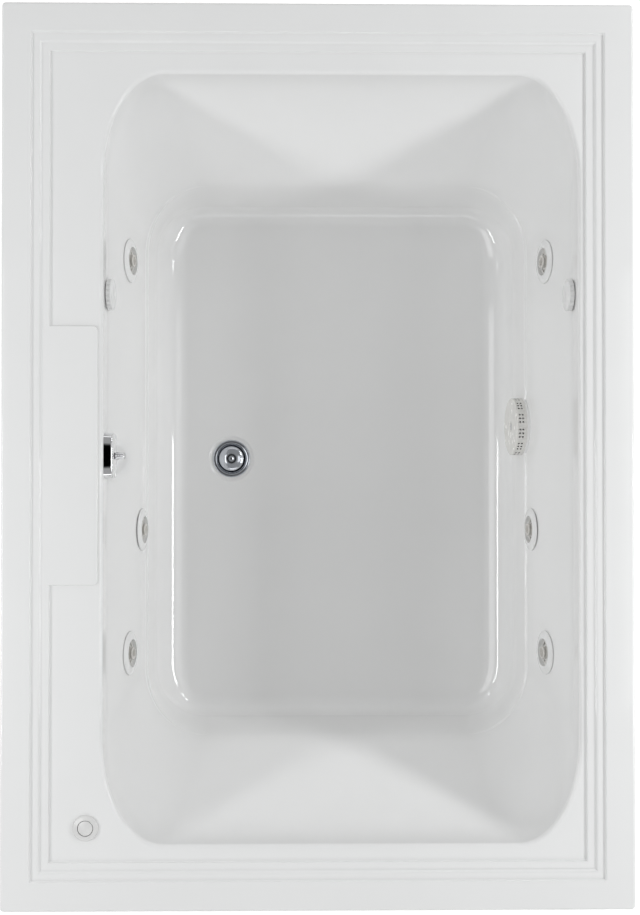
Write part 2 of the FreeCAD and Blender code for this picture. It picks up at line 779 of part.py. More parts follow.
# ================================================================ support
def rim_rails():
    """Timber rails bonded under the outer frame, butted at the corners."""
    top = HEIGHT - SKIN
    x_out = WIDTH / 2 - SKIN - RAIL_GAP
    y_out = LENGTH / 2 - SKIN - RAIL_GAP
    rails = []
    for sx in (-1, 1):
        xs = sorted((sx * x_out, sx * (x_out - RAIL_WIDTH)))
        rails.append(box((xs[0], -y_out, top - RAIL_HEIGHT), (xs[1], y_out, top)))
    for sy in (-1, 1):
        ys = sorted((sy * y_out, sy * (y_out - RAIL_WIDTH)))
        rails.append(box((-x_out + RAIL_WIDTH, ys[0], top - RAIL_HEIGHT), (x_out - RAIL_WIDTH, ys[1], top)))
    return group(rails)


def base_board():
    """Plywood board bonded under the floor; it runs on to carry the pump, with a slot for the waste."""
    board = box((BOARD_LEFT, BOARD_FRONT, BOARD_TOP - BOARD_THICK), (BOARD_RIGHT, BOARD_BACK, BOARD_TOP))
    board = board.makeFillet(BOARD_CORNER, upright_edges(board))
    slot = box((BOARD_LEFT - 10, -WASTE_SLOT_HALF, 0), (DRAIN_X, WASTE_SLOT_HALF, HEIGHT))
    well = Part.makeCylinder(WASTE_SLOT_HALF, HEIGHT, Vector(DRAIN_X, 0, 0))
    return board.cut([slot, well])


def base_bearers():
    """Timber cross bearers under the board."""
    bars = []
    for y in BEARER_Y:
        bar = box((BOARD_LEFT + BEARER_INSET, y - BEARER_WIDTH / 2, PAD_HEIGHT),
                  (BOARD_RIGHT - BEARER_INSET, y + BEARER_WIDTH / 2, PAD_HEIGHT + BEARER_HEIGHT))
        bars.append(bar.makeChamfer(BEARER_CHAMFER,
                                    [e for e in bar.Edges if e.BoundBox.XLength > BEARER_HEIGHT]))
    return group(bars)


def foot_pads():
    """Plastic pads under both ends of each bearer."""
    pads = []
    for y in BEARER_Y:
        for x in (BOARD_LEFT + PAD_INSET, BOARD_RIGHT - PAD_INSET):
            pad = box((x - PAD_LENGTH / 2, y - PAD_WIDTH / 2, 0),
                      (x + PAD_LENGTH / 2, y + PAD_WIDTH / 2, PAD_HEIGHT))
            pads.append(pad.makeFillet(PAD_CORNER, upright_edges(pad)))
    return group(pads)


# ================================================================ jets
def jet_wall_fitting():
    """Smooth white flange with a threaded barrel, seen from the basin as the jet's outer ring."""
    edge_z = 0.8
    shoulder_z = 3.6
    shoulder_r = JET_FLANGE_R - 5
    crest_r = JET_BORE_R + 2
    return lathe([(JET_BORE_R, JET_SHELF_Z), (JET_THROAT_R, JET_SHELF_Z), (JET_THROAT_R, JET_BARREL_FOOT),
                  (JET_BARREL_R, JET_BARREL_FOOT), (JET_BARREL_R, -SEAT), (JET_FLANGE_R, -SEAT),
                  (JET_FLANGE_R, edge_z, SOFT_BULGE), (shoulder_r, shoulder_z, CROWN_BULGE),
                  (crest_r, JET_CREST_Z, ROUND_BULGE), (JET_BORE_R, JET_CREST_Z - edge_z)])


def jet_gasket():
    """Rubber ring between the wall and the jet body."""
    return ring(JET_BARREL_R + CLEAR, JET_CLAMP_R, -BACK - JET_GASKET_THICK, -BACK)


def jet_body():
    """Body behind the wall: clamp flange, mixing chamber, water tee along local X and air tee above it."""
    face = -BACK - JET_GASKET_THICK
    clamp_foot = -14
    taper = 2
    end_r = 24
    end_z = JET_TEE_Z - 16
    shelf = JET_BARREL_FOOT - CLEAR
    chamber = lathe([(JET_BARREL_R, face), (JET_CLAMP_R, face), (JET_CLAMP_R, clamp_foot),
                     (JET_CHAMBER_R, clamp_foot - taper), (JET_CHAMBER_R, JET_TEE_Z), (end_r, end_z),
                     (0, end_z), (0, shelf), (JET_BARREL_R, shelf)])
    port = Vector(JET_TEE_HALF, 0, JET_TEE_Z)
    far_port = Vector(-JET_TEE_HALF, 0, JET_TEE_Z)
    tee = rod(far_port, port, JET_TEE_R)
    collars = [rod(Vector(sign * (JET_TEE_HALF - JET_COLLAR_LENGTH), 0, JET_TEE_Z),
                   Vector(sign * JET_TEE_HALF, 0, JET_TEE_Z), JET_COLLAR_R) for sign in (-1, 1)]
    neck = rod(Vector(0, 20, JET_AIR_Z), Vector(0, JET_AIR_Y, JET_AIR_Z), AIR_TRUNK_R)
    body = fuse([chamber, tee, neck] + collars)
    socket = rod(far_port, port, WATER_R)
    throat = Part.makeCylinder(JET_THROAT_R, 20, Vector(0, 0, JET_TEE_Z))
    air = rod(Vector(0, 10, JET_AIR_Z), Vector(0, JET_AIR_Y, JET_AIR_Z), AIR_BRANCH_R)
    cavity = Part.makeCylinder(JET_BARREL_R, 30, Vector(0, 0, shelf))
    return body.cut([socket, throat, air, cavity])


def jet_ring():
    """Recessed ring that turns to set the flow: rim, spokes, socket and pin pads of the nozzle."""
    rim_r = 20.4
    hub_r = 14.2
    hub_mouth_r = 11.3
    hub_top = JET_RING_Z + 1
    rim = ring(rim_r, JET_RING_R, JET_RING_FOOT, JET_RING_Z)
    hub = lathe([(JET_SOCKET_R, JET_RING_FOOT), (hub_r, JET_RING_FOOT), (hub_r, hub_top),
                 (hub_mouth_r, hub_top), (JET_SOCKET_R, JET_BALL_Z + 1)])
    spoke_half = 1.3
    spokes = []
    for index in range(JET_SPOKES):
        bar = box((hub_r - 1, -spoke_half, -7), (rim_r + 1, spoke_half, JET_RING_Z - 1))
        bar.rotate(Vector(0, 0, 0), Vector(0, 0, 1), 360 / JET_SPOKES * (index + 0.5))
        spokes.append(bar)
    pad_half = 6
    pads = []
    for turn in (0, 180):
        pad = box((JET_PIN_END, -pad_half, -pad_half), (rim_r + 0.6, pad_half, JET_RING_Z - 0.4))
        pad.rotate(Vector(0, 0, 0), Vector(0, 0, 1), turn)
        pads.append(pad)
    pin_hole = rod(Vector(-JET_PIN_END, 0, JET_BALL_Z), Vector(JET_PIN_END, 0, JET_BALL_Z),
                   JET_PIN_R + RUNNING_GAP)
    return fuse([rim, hub] + spokes + pads).cut(pin_hole)


def jet_nozzle():
    """Swivelling eyeball with a flared mouth; it tilts on two stub pins along local X."""
    z = JET_BALL_Z
    ball = Part.makeSphere(JET_BALL_R, Vector(0, 0, z))
    keep = Part.makeCylinder(20, 17, Vector(0, 0, z - 9))
    lip = z + 12
    inlet_r = 8.6
    mouth = lathe([(0, z + 6), (inlet_r, z + 7.2), (11.2, z + 9), (11.4, lip - 1, ROUND_BULGE), (9.4, lip),
                   (0, lip)])
    bore = lathe([(0, z - 12), (inlet_r, z - 12), (JET_NOZZLE_BORE, z - 2), (JET_NOZZLE_BORE, z + 7),
                  (8, lip + 1), (0, lip + 1)])
    reach = JET_PIN_END - 0.3
    pins = rod(Vector(-reach, 0, z), Vector(reach, 0, z), JET_PIN_R)
    return fuse([ball.common(keep), mouth, pins]).cut(bore)


# ================================================================ air controls
def air_control_body():
    """Flange, threaded stem and hose barb of an air control."""
    flange_edge = 0.8
    flange_top = 1.6
    stem_top = 5
    stem = lathe([(AIR_BORE_R, AIR_FOOT), (AIR_THREAD_R, AIR_FOOT), (AIR_THREAD_R, -SEAT),
                  (AIR_FLANGE_R, -SEAT),
                  (AIR_FLANGE_R, flange_edge), (AIR_STEM_R, flange_top), (AIR_STEM_R, stem_top),
                  (AIR_BORE_R, stem_top)])
    elbow = rod(Vector(0, 4, AIR_ELBOW_Z), Vector(0, AIR_ELBOW_END, AIR_ELBOW_Z), AIR_ELBOW_R)
    spout = rod(Vector(0, 0, AIR_ELBOW_Z), Vector(0, 2 * AIR_ELBOW_END, AIR_ELBOW_Z), AIR_FEED_R)
    plug = Part.makeCylinder(AIR_BORE_R + 1, 4, Vector(0, 0, AIR_FOOT))
    body = fuse([stem, elbow, plug])
    return body.cut(spout)


def hexagon(across_corners_r, thick):
    """Six-sided block about Z, foot at zero."""
    points = [polar(across_corners_r, 60 * index) for index in range(6)]
    return Part.Face(Part.makePolygon(points + points[:1])).extrude(Vector(0, 0, thick))


def air_control_nut():
    """Six-sided nut behind the wall."""
    prism = hexagon(AIR_NUT_R, AIR_NUT_THICK)
    prism.translate(Vector(0, 0, -BACK - AIR_NUT_THICK))
    return prism.cut(Part.makeCylinder(AIR_THREAD_R, THROUGH, Vector(0, 0, -THROUGH / 2)))


def air_control_knob():
    """Low dial that turns on the stem; air enters through the gap behind its edge."""
    bore = AIR_STEM_R + RUNNING_GAP
    inner = AIR_KNOB_R - AIR_KNOB_WALL
    hub_r = 15
    hub_foot = 2.4
    edge_foot = 2.6
    edge_top = AIR_KNOB_TOP - 3
    crown_z = AIR_KNOB_TOP - 1
    cap = lathe([(0, AIR_KNOB_UNDER), (bore, AIR_KNOB_UNDER), (bore, hub_foot), (hub_r, hub_foot),
                 (hub_r, AIR_KNOB_UNDER), (inner, AIR_KNOB_UNDER), (inner, edge_foot),
                 (AIR_KNOB_R, edge_foot),
                 (AIR_KNOB_R, edge_top, ROUND_BULGE), (AIR_KNOB_R - 2.4, crown_z, CROWN_BULGE),
                 (DOME_FLAT_R, AIR_KNOB_TOP), (0, AIR_KNOB_TOP)])
    grips = []
    for index in range(AIR_GRIPS):
        spot = polar(AIR_KNOB_R + AIR_GRIP_OUT, 360 / AIR_GRIPS * index).add(Vector(0, 0, 1))
        grips.append(Part.makeCylinder(AIR_GRIP_R, edge_top - AIR_GRIP_R, spot))
    return cap.cut(grips)


# ================================================================ suction
def suction_cover():
    """Drum with a gently domed face and two rows of holes in groups round its wall."""
    outer = SUCTION_COVER_R
    inner = SUCTION_COVER_R - SUCTION_COVER_WALL
    top = SUCTION_COVER_H
    foot = 0.2
    sunk = top - SUCTION_SCREW_SINK
    rim_r = SUCTION_POST_R + 2
    drum = lathe([(inner, foot), (outer, foot), (outer, top - 6, ROUND_BULGE),
                  (outer - 6, top - 1.2, FACE_BULGE),
                  (rim_r, top), (SUCTION_POST_R, sunk), (SUCTION_SCREW_R + 0.3, sunk),
                  (SUCTION_SCREW_R + 0.3, SUCTION_POST_TOP), (SUCTION_POST_R, SUCTION_POST_TOP),
                  (SUCTION_POST_R, top - 6), (outer - 9, top - 5), (inner, top - 9)])
    holes = []
    for cluster in range(SUCTION_HOLE_GROUPS):
        for column in (-1, 0, 1):
            turn = 360 / SUCTION_HOLE_GROUPS * cluster + column * SUCTION_HOLE_TURN
            for height in SUCTION_HOLE_ROWS:
                hole = Part.makeCylinder(SUCTION_INLET_R, 8, Vector(outer - 6, 0, height), Vector(1, 0, 0))
                hole.rotate(Vector(0, 0, 0), Vector(0, 0, 1), turn)
                holes.append(hole)
    return drum.cut(holes)


def suction_screw():
    """Centre screw of the cover."""
    seat = SUCTION_COVER_H - SUCTION_SCREW_SINK
    shoulder = SUCTION_COVER_H - 1.6
    crown = SUCTION_COVER_H - 0.5
    head = lathe([(0, seat), (SUCTION_SCREW_HEAD_R, seat), (SUCTION_SCREW_HEAD_R, shoulder, SOFT_BULGE),
                  (4, crown), (0, crown)])
    shank = Part.makeCylinder(SUCTION_SCREW_R, seat)
    slot = box((-5, -0.6, shoulder), (5, 0.6, SUCTION_COVER_H))
    return fuse([head, shank]).cut(slot)


def suction_body():
    """Wall fitting with a spider that holds the cover's screw."""
    barrel_r = SUCTION_HOLE_R - CLEAR
    flange_top = 4
    barrel = lathe([(SUCTION_BORE_R, SUCTION_FOOT), (barrel_r, SUCTION_FOOT), (barrel_r, 0),
                    (SUCTION_FLANGE_R, 0), (SUCTION_FLANGE_R, flange_top), (SUCTION_BORE_R, flange_top)])
    reach = SUCTION_BORE_R + 1
    arm_half = 2.5
    arms = [box((-reach, -arm_half, -4), (reach, arm_half, 3)),
            box((-arm_half, -reach, -4), (arm_half, reach, 3))]
    post = Part.makeCylinder(SUCTION_POST_R, SUCTION_POST_TOP + 4, Vector(0, 0, -4))
    bore = Part.makeCylinder(SUCTION_SCREW_R, SUCTION_POST_TOP + 2)
    return fuse([barrel, post] + arms).cut(bore)


def suction_nut():
    """Lobed nut that clamps the suction fitting."""
    low = -SUCTION_PAD_THICK - SUCTION_NUT_THICK
    nut = ring(SUCTION_HOLE_R - CLEAR, SUCTION_NUT_R, low, -SUCTION_PAD_THICK)
    lugs = []
    for index in range(SUCTION_NUT_LUGS):
        spot = polar(SUCTION_NUT_R, 360 / SUCTION_NUT_LUGS * index).add(Vector(0, 0, low))
        lugs.append(Part.makeCylinder(SUCTION_LUG_R, SUCTION_NUT_THICK, spot))
    return fuse([nut] + lugs)


def suction_pipe():
    """Elbow and pipe from the suction fitting to the pump inlet."""
    place = suction_place()
    start = place.multVec(Vector(0, 0, SUCTION_FOOT))
    reach = (SUCTION_PIPE_X - start.x) / math.cos(math.atan(SUCTION_SLOPE))
    corner = place.multVec(Vector(0, 0, SUCTION_FOOT - reach))
    points = [start, corner, Vector(SUCTION_PIPE_X, PUMP_Y, PUMP_Z), Vector(INLET_X, PUMP_Y, PUMP_Z)]
    run = pipe(points, SUCTION_PIPE_BEND, SUCTION_PIPE_R, SUCTION_PIPE_BORE)
    hub = placed(ring(SUCTION_PIPE_BORE, SUCTION_HUB_R, SUCTION_FOOT - 12, SUCTION_FOOT), place)
    collar_start = 36
    collar_end = 60
    elbow = rod(corner.add(Vector(0, -collar_start, 0)), corner.add(Vector(0, -collar_end, 0)),
                SUCTION_PIPE_R + 4)
    elbow_bore = rod(corner.add(Vector(0, -collar_start + 6, 0)), corner.add(Vector(0, -collar_end - 10, 0)),
                     SUCTION_PIPE_R)
    return fuse([run, hub, elbow.cut(elbow_bore)])


# ================================================================ drain and overflow
def drain_flange():
    """Chrome dish and threaded barrel in the floor."""
    top = FLOOR_Z - DRAIN_RECESS_DEPTH
    foot = top - DRAIN_BARREL_LENGTH
    cone_foot = top - 6
    dish_foot = top - 3
    inner_r = DRAIN_DISH_R - 1
    body = lathe([(DRAIN_THROAT_R, foot), (DRAIN_BARREL_R, foot), (DRAIN_BARREL_R, cone_foot),
                  (DRAIN_DISH_R, dish_foot), (DRAIN_DISH_R, top), (DRAIN_FLANGE_R, top),
                  (DRAIN_FLANGE_R, top + 1.0, ROUND_BULGE), (DRAIN_FLANGE_R - 3, top + 2.6, SOFT_BULGE),
                  (inner_r, top + 0.8), (DRAIN_THROAT_R, top - 7)])
    body.translate(Vector(DRAIN_X, 0, 0))
    return body


def drain_gasket():
    """Rubber washer between the floor boss and the shoe."""
    top = FLOOR_Z - SKIN - DRAIN_BOSS_DROP
    washer = ring(DRAIN_BARREL_R, DRAIN_GASKET_R, top - DRAIN_GASKET_THICK, top)
    washer.translate(Vector(DRAIN_X, 0, 0))
    return washer


def drain_shoe():
    """Elbow under the floor with its long tube to the tee; the rocker's pin crosses the tube."""
    top = FLOOR_Z - SKIN - DRAIN_BOSS_DROP - DRAIN_GASKET_THICK
    foot = WASTE_Z - WASTE_R - 3
    cup_r = DRAIN_BARREL_R + 4
    flange_foot = top - 5
    cup = lathe([(0, foot), (WASTE_R, foot), (cup_r, WASTE_Z - 4), (cup_r, flange_foot),
                 (DRAIN_GASKET_R, flange_foot), (DRAIN_GASKET_R, top), (0, top)])
    cup.translate(Vector(DRAIN_X, 0, 0))
    tube = rod(Vector(DRAIN_X, 0, WASTE_Z), Vector(TUBE_X + WASTE_BRANCH - WASTE_SEAT, 0, WASTE_Z), WASTE_R)
    body = fuse([cup, tube])
    well = lathe([(0, WASTE_Z - WASTE_BORE), (WASTE_BORE, WASTE_Z - WASTE_BORE),
                  (DRAIN_BARREL_R, WASTE_Z + 4), (DRAIN_BARREL_R, top + 1), (0, top + 1)])
    well.translate(Vector(DRAIN_X, 0, 0))
    bore = rod(Vector(DRAIN_X, 0, WASTE_Z), Vector(TUBE_X, 0, WASTE_Z), WASTE_BORE)
    pin_half = WASTE_R - 1
    pin = rod(Vector(ROCKER_PIVOT_X, -pin_half, WASTE_Z), Vector(ROCKER_PIVOT_X, pin_half, WASTE_Z),
              ROCKER_PIN_R)
    return body.cut([well, bore]).fuse(pin)


def rocker_tilt():
    """Rise of the rocker arm per length while the stopper stands open."""
    return math.tan(math.radians(ROCKER_HALF_ANGLE))


def drain_stopper():
    """Domed pop-up stopper with its seal and stem, standing open."""
    seal = FLOOR_Z - DRAIN_RECESS_DEPTH - 3 + STOPPER_LIFT
    crown = seal + 9.5
    hub_r = 6
    hub_foot = seal - 9
    plug_foot = seal - 4
    stem_foot = WASTE_Z + STOPPER_ARM * rocker_tilt() - ROCKER_TIP_DROP + ROCKER_TIP_R + ROCKER_LASH
    body = lathe([(0, stem_foot), (STOPPER_STEM_R - 0.6, stem_foot, ROUND_BULGE),
                  (STOPPER_STEM_R, stem_foot + 2),
                  (STOPPER_STEM_R, hub_foot), (hub_r, hub_foot), (hub_r, plug_foot),
                  (STOPPER_PLUG_R - 1.4, plug_foot),
                  (STOPPER_PLUG_R, plug_foot + 1), (STOPPER_PLUG_R, seal), (STOPPER_R, seal + 2.6),
                  (STOPPER_R, seal + 4, SOFT_BULGE), (STOPPER_R - 2, seal + 6, SOFT_BULGE),
                  (DOME_FLAT_R, crown), (0, crown)])
    body.translate(Vector(DRAIN_X, 0, 0))
    return body


def rocker_arm():
    """Wire lever in the waste tube; one end lifts the stopper, the other lies under the rod."""
    axle = Vector(ROCKER_PIVOT_X, 0, WASTE_Z)
    high = Vector(DRAIN_X, 0, WASTE_Z + STOPPER_ARM * rocker_tilt() - ROCKER_TIP_DROP)
    low = Vector(TUBE_X, 0, WASTE_Z - ROCKER_REACH * rocker_tilt())
    eye = along_y(axle, ROCKER_EYE_HALF, ROCKER_EYE_R)
    shafts = [rod(axle, high, ROCKER_WIRE_R), rod(axle, low, ROCKER_WIRE_R)]
    ends = [Part.makeSphere(ROCKER_TIP_R, high), Part.makeSphere(ROCKER_TAIL_R, low)]
    hole = along_y(axle, 2 * ROCKER_EYE_HALF, ROCKER_PIN_R + RUNNING_GAP)
    return fuse([eye] + shafts + ends).cut(hole)


def lift_rod():
    """Rod in the overflow tube with a coil weight at its foot, hung from the lever."""
    foot = WASTE_Z - ROCKER_REACH * rocker_tilt() + ROD_SEAT
    top = FITTING_Z - ROD_TRAVEL / 2
    stem = rod(Vector(TUBE_X, 0, foot + 6), Vector(TUBE_X, 0, top - ROD_EYE_R + 0.6), ROD_R)
    coils = []
    for index in range(ROD_COILS):
        height = foot + ROD_WIRE_R + 0.5 + ROD_COIL_PITCH * index
        coils.append(Part.makeTorus(ROD_COIL_R, ROD_WIRE_R, Vector(TUBE_X, 0, height)))
    core = Part.makeCylinder(ROD_COIL_R - 0.8, 30, Vector(TUBE_X, 0, foot))
    eye_at = Vector(TUBE_X, 0, top)
    eye = along_y(eye_at, ROD_EYE_HALF, ROD_EYE_R)
    hole = along_y(eye_at, ROD_EYE_HALF + 3, ROD_EYE_HOLE_R)
    return fuse([stem, core, eye] + coils).cut(hole)


def overflow_plate():
    """Chrome dish over the overflow, with a slot for the lever and two screw holes."""
    place = overflow_place()
    edge_z = 3.0
    shoulder_z = 7.2
    under_edge = 2.2
    dish = lathe([(PLATE_R - PLATE_THICK, -SEAT), (PLATE_R, -SEAT), (PLATE_R, edge_z, ROUND_BULGE),
                  (PLATE_R - 5, shoulder_z, CROWN_BULGE), (PLATE_FLAT_R, PLATE_PROUD), (0, PLATE_PROUD),
                  (0, PLATE_PROUD - PLATE_THICK), (PLATE_FLAT_R, PLATE_PROUD - PLATE_THICK),
                  (PLATE_R - 6, shoulder_z - PLATE_THICK), (PLATE_R - PLATE_THICK, under_edge)])
    slot = box((-LEVER_SLOT_HALF, -LEVER_SLOT_REACH, 0), (LEVER_SLOT_HALF, LEVER_SLOT_REACH, 20))
    slot = slot.makeFillet(LEVER_SLOT_HALF - 0.4, upright_edges(slot))
    weep_half = 14
    weep = box((-weep_half, -PLATE_R - 5, -2), (weep_half, -PLATE_R + 6, 2.4))
    holes = [Part.makeCylinder(PLATE_HOLE_R, 20, Vector(0, sign * PLATE_SCREW_Y, 0)) for sign in (-1, 1)]
    dish = dish.cut([slot, weep] + holes)
    pivot = place.inverse().multVec(Vector(LEVER_PIVOT_X, 0, FITTING_Z))
    lug_end = LEVER_SLOT_HALF + PLATE_LUG
    lugs = [box((min(side * LEVER_SLOT_HALF, side * lug_end), pivot.y - 4, pivot.z - 3.4),
                (max(side * LEVER_SLOT_HALF, side * lug_end), pivot.y + 4,
                 PLATE_PROUD - 0.5)) for side in (-1, 1)]
    pin = rod(Vector(-lug_end, pivot.y, pivot.z), Vector(lug_end, pivot.y, pivot.z), LEVER_PIN_R)
    return placed(fuse([dish] + lugs + [pin]), place)


def overflow_screws():
    """Two raised-head screws."""
    place = overflow_place()
    seat = PLATE_PROUD + 0.6
    crown = seat + 2.4
    screws = []
    for sign in (-1, 1):
        head = lathe([(0, seat), (4.6, seat), (4.4, seat + 0.8, SOFT_BULGE), (DOME_FLAT_R, crown),
                      (0, crown)])
        shank = Part.makeCylinder(PLATE_SCREW_R, seat + 18, Vector(0, 0, -17.6))
        slot = box((-4, -0.5, crown - 1), (4, 0.5, crown + 1))
        screw = fuse([head, shank]).cut(slot)
        screw.translate(Vector(0, sign * PLATE_SCREW_Y, 0))
        screws.append(placed(screw, place))
    return group(screws)


def overflow_gasket():
    """Soft ring between the wall and the overflow elbow."""
    washer = ring(OVERFLOW_THROAT_R + 2, OVERFLOW_FACE_R, -BACK - OVERFLOW_GASKET_THICK, -BACK)
    holes = [Part.makeCylinder(PLATE_HOLE_R, 20, Vector(0, sign * PLATE_SCREW_Y, -BACK - 10))
             for sign in (-1, 1)]
    return placed(washer.cut(holes), overflow_place())


def overflow_elbow():
    """Elbow behind the wall that turns the overflow down into the tube."""
    place = overflow_place()
    turn = Vector(TUBE_X, 0, FITTING_Z)
    face_top = -BACK - OVERFLOW_GASKET_THICK
    face_foot = face_top - OVERFLOW_FACE_THICK
    start = place.multVec(Vector(0, 0, face_top - 2))
    face = placed(ring(OVERFLOW_THROAT_R, OVERFLOW_FACE_R, face_foot, face_top), place)
    ears = [placed(Part.makeCylinder(4.6, 8, Vector(0, sign * PLATE_SCREW_Y, face_foot - 4)), place)
            for sign in (-1, 1)]
    throat = rod(start, turn, OVERFLOW_THROAT_R + 2)
    neck = lathe([(0, OVERFLOW_NECK_FOOT), (OVERFLOW_NECK_R, OVERFLOW_NECK_FOOT),
                  (OVERFLOW_NECK_R, 8, ROUND_BULGE),
                  (OVERFLOW_CROWN_R, OVERFLOW_CROWN_Z), (0, OVERFLOW_CROWN_Z)])
    neck.translate(turn)
    body = fuse([face, throat, neck] + ears)
    cavity = [rod(place.multVec(Vector(0, 0, 5)), turn, OVERFLOW_THROAT_R),
              rod(turn.add(Vector(0, 0, 9)), turn.add(Vector(0, 0, -OVERFLOW_LAP)), OVERFLOW_THROAT_R),
              rod(turn.add(Vector(0, 0, 18)), turn, OVERFLOW_CROWN_R + CLEAR),
              rod(turn, turn.add(Vector(0, 0, -80)), WASTE_R)]
    holes = [placed(Part.makeCylinder(PLATE_SCREW_R, 40, Vector(0, sign * PLATE_SCREW_Y, -30)), place)
             for sign in (-1, 1)]
    return body.cut(cavity + holes)


def overflow_tube():
    """Tube from the elbow down to the waste tee."""
    tube = tube_run(WASTE_Z + WASTE_NECK - WASTE_SEAT, FITTING_Z - OVERFLOW_LAP, WASTE_R)
    return tube.cut(tube_run(0, HEIGHT, WASTE_BORE))


def tube_run(low, high, radius):
    """Round bar on the axis of the overflow tube."""
    return rod(Vector(TUBE_X, 0, low), Vector(TUBE_X, 0, high), radius)


def waste_tee():
    """Tee that joins the shoe tube and the overflow tube and leads to the house drain."""
    neck = WASTE_Z + WASTE_NECK
    branch_end = Vector(TUBE_X + WASTE_BRANCH, 0, WASTE_Z)
    past_branch = Vector(TUBE_X + WASTE_BRANCH + 4, 0, WASTE_Z)
    middle = Vector(TUBE_X, 0, WASTE_Z)
    upright = tube_run(WASTE_FOOT, neck, WASTE_R)
    collar = tube_run(neck - 30, neck, WASTE_COLLAR_R)
    branch = rod(middle, branch_end, WASTE_COLLAR_R)
    hub = tube_run(WASTE_Z - 26, WASTE_Z + 30, WASTE_HUB_R)
    body = fuse([upright, collar, branch, hub])
    bores = [tube_run(0, neck + 4, WASTE_BORE), tube_run(neck - WASTE_SEAT, neck + 4, WASTE_R),
             rod(middle, past_branch, WASTE_BORE),
             rod(Vector(TUBE_X + WASTE_BRANCH - WASTE_SEAT, 0, WASTE_Z), past_branch, WASTE_R)]
    return body.cut(bores)


def slip_nut():
    """Ribbed slip nut about Z, foot at zero."""
    nut = ring(WASTE_R, NUT_R, 0, NUT_HEIGHT)
    rib_half = 1.8
    ribs = []
    for index in range(NUT_RIBS):
        rib = box((NUT_R - 1, -rib_half, 0), (NUT_R + 2, rib_half, NUT_HEIGHT))
        rib.rotate(Vector(0, 0, 0), Vector(0, 0, 1), 360 / NUT_RIBS * index)
        ribs.append(rib)
    return fuse([nut] + ribs)


def slip_nuts():
    """Slip nuts at the tee's two joints and under the overflow elbow."""
    places = [FreeCAD.Placement(Vector(TUBE_X, 0, WASTE_Z + WASTE_NECK), FreeCAD.Rotation()),
              FreeCAD.Placement(Vector(TUBE_X, 0, FITTING_Z + OVERFLOW_NECK_FOOT - NUT_HEIGHT),
                                FreeCAD.Rotation()),
              FreeCAD.Placement(Vector(TUBE_X + WASTE_BRANCH, 0, WASTE_Z),
                                FreeCAD.Rotation(Vector(0, 1, 0), 90))]
    return group([placed(slip_nut(), place) for place in places])


def trip_lever():
    """Lever through the overflow plate: knob and collar outside, arm to the lift rod inside."""
    axle = Vector(LEVER_PIVOT_X, 0, FITTING_Z)
    turn = math.radians(LEVER_ANGLE / 2)
    out = Vector(math.cos(turn), 0, math.sin(turn))

    def along(distance):
        return axle.add(Vector(out).multiply(distance))

    ball = Part.makeSphere(LEVER_SLOT_HALF - 0.6, axle)
    neck = rod(axle, along(LEVER_COLLAR_START + 1), LEVER_NECK_R)
    collar = rod(along(LEVER_COLLAR_START), along(LEVER_COLLAR_END), LEVER_COLLAR_R)
    grip = rod(along(LEVER_COLLAR_END - 0.6), along(LEVER_GRIP_END), LEVER_GRIP_R)
    tip = [e for e in grip.Edges if e.BoundBox.Center.x > along(20).x and e.BoundBox.ZLength > LEVER_GRIP_R]
    grip = grip.makeFillet(LEVER_GRIP_ROUND, tip[:1])
    arm = rod(axle, along(1 - LEVER_ARM / math.cos(turn)), LEVER_ARM_R)
    pivot_hole = along_y(axle, 8, LEVER_PIN_R + RUNNING_GAP)
    pin_at = Vector(TUBE_X, 0, FITTING_Z - ROD_TRAVEL / 2)
    pin = along_y(pin_at, LEVER_CHEEK_HALF, LEVER_ARM_R)
    notch_reach = ROD_EYE_R + 2.6
    notch = box((TUBE_X - notch_reach, -LEVER_NOTCH_HALF, pin_at.z - notch_reach),
                (TUBE_X + notch_reach, LEVER_NOTCH_HALF, pin_at.z + notch_reach)).cut(pin)
    cheeks = box((TUBE_X - LEVER_CHEEK, -LEVER_CHEEK_HALF, pin_at.z - LEVER_CHEEK),
                 (TUBE_X + 10, LEVER_CHEEK_HALF, pin_at.z + LEVER_CHEEK))
    lever = fuse([ball, neck, collar, grip, arm, cheeks]).cut([notch, pivot_hole])
    return fuse([lever, pin])


# ================================================================ air switch
def switch_bezel():
    """Deck bezel with the button well, threaded body and air bellows chamber."""
    z = DECK_Z
    shelf = z - SWITCH_SKIRT - SWITCH_TRAVEL - 1
    body_foot = z - SWITCH_BODY_FOOT
    nipple_foot = z - SWITCH_NIPPLE_FOOT
    chamber_foot = z - SWITCH_CHAMBER_FOOT
    bezel = lathe([(SWITCH_WELL_R, shelf), (SWITCH_WELL_R, z + SWITCH_BEZEL_TOP - 0.8),
                   (SWITCH_BODY_R + 0.5, z + SWITCH_BEZEL_TOP, SOFT_BULGE),
                   (SWITCH_BEZEL_R - 1, z + SWITCH_BEZEL_TOP / 2), (SWITCH_BEZEL_R, z), (SWITCH_BODY_R, z),
                   (SWITCH_BODY_R, body_foot), (SWITCH_NIPPLE_R, body_foot), (SWITCH_NIPPLE_R, nipple_foot),
                   (SWITCH_NIPPLE_BORE, nipple_foot), (SWITCH_NIPPLE_BORE, chamber_foot),
                   (SWITCH_CHAMBER_R, chamber_foot), (SWITCH_CHAMBER_R, shelf)])
    bezel.translate(Vector(SWITCH_X, SWITCH_Y, 0))
    return bezel


def switch_button():
    """Push button, slightly dished, that squeezes the air chamber."""
    top = DECK_Z + SWITCH_BUTTON_TOP
    foot = DECK_Z - SWITCH_SKIRT
    dished = top - 0.6
    edge_r = SWITCH_BUTTON_R - 1.6
    button = lathe([(0, foot - 5), (SWITCH_STUD_R, foot - 5), (SWITCH_STUD_R, foot), (SWITCH_BUTTON_R, foot),
                    (SWITCH_BUTTON_R, top - 1.2, ROUND_BULGE), (edge_r, top, -FACE_BULGE),
                    (DOME_FLAT_R, dished), (0, dished)])
    button.translate(Vector(SWITCH_X, SWITCH_Y, 0))
    return button


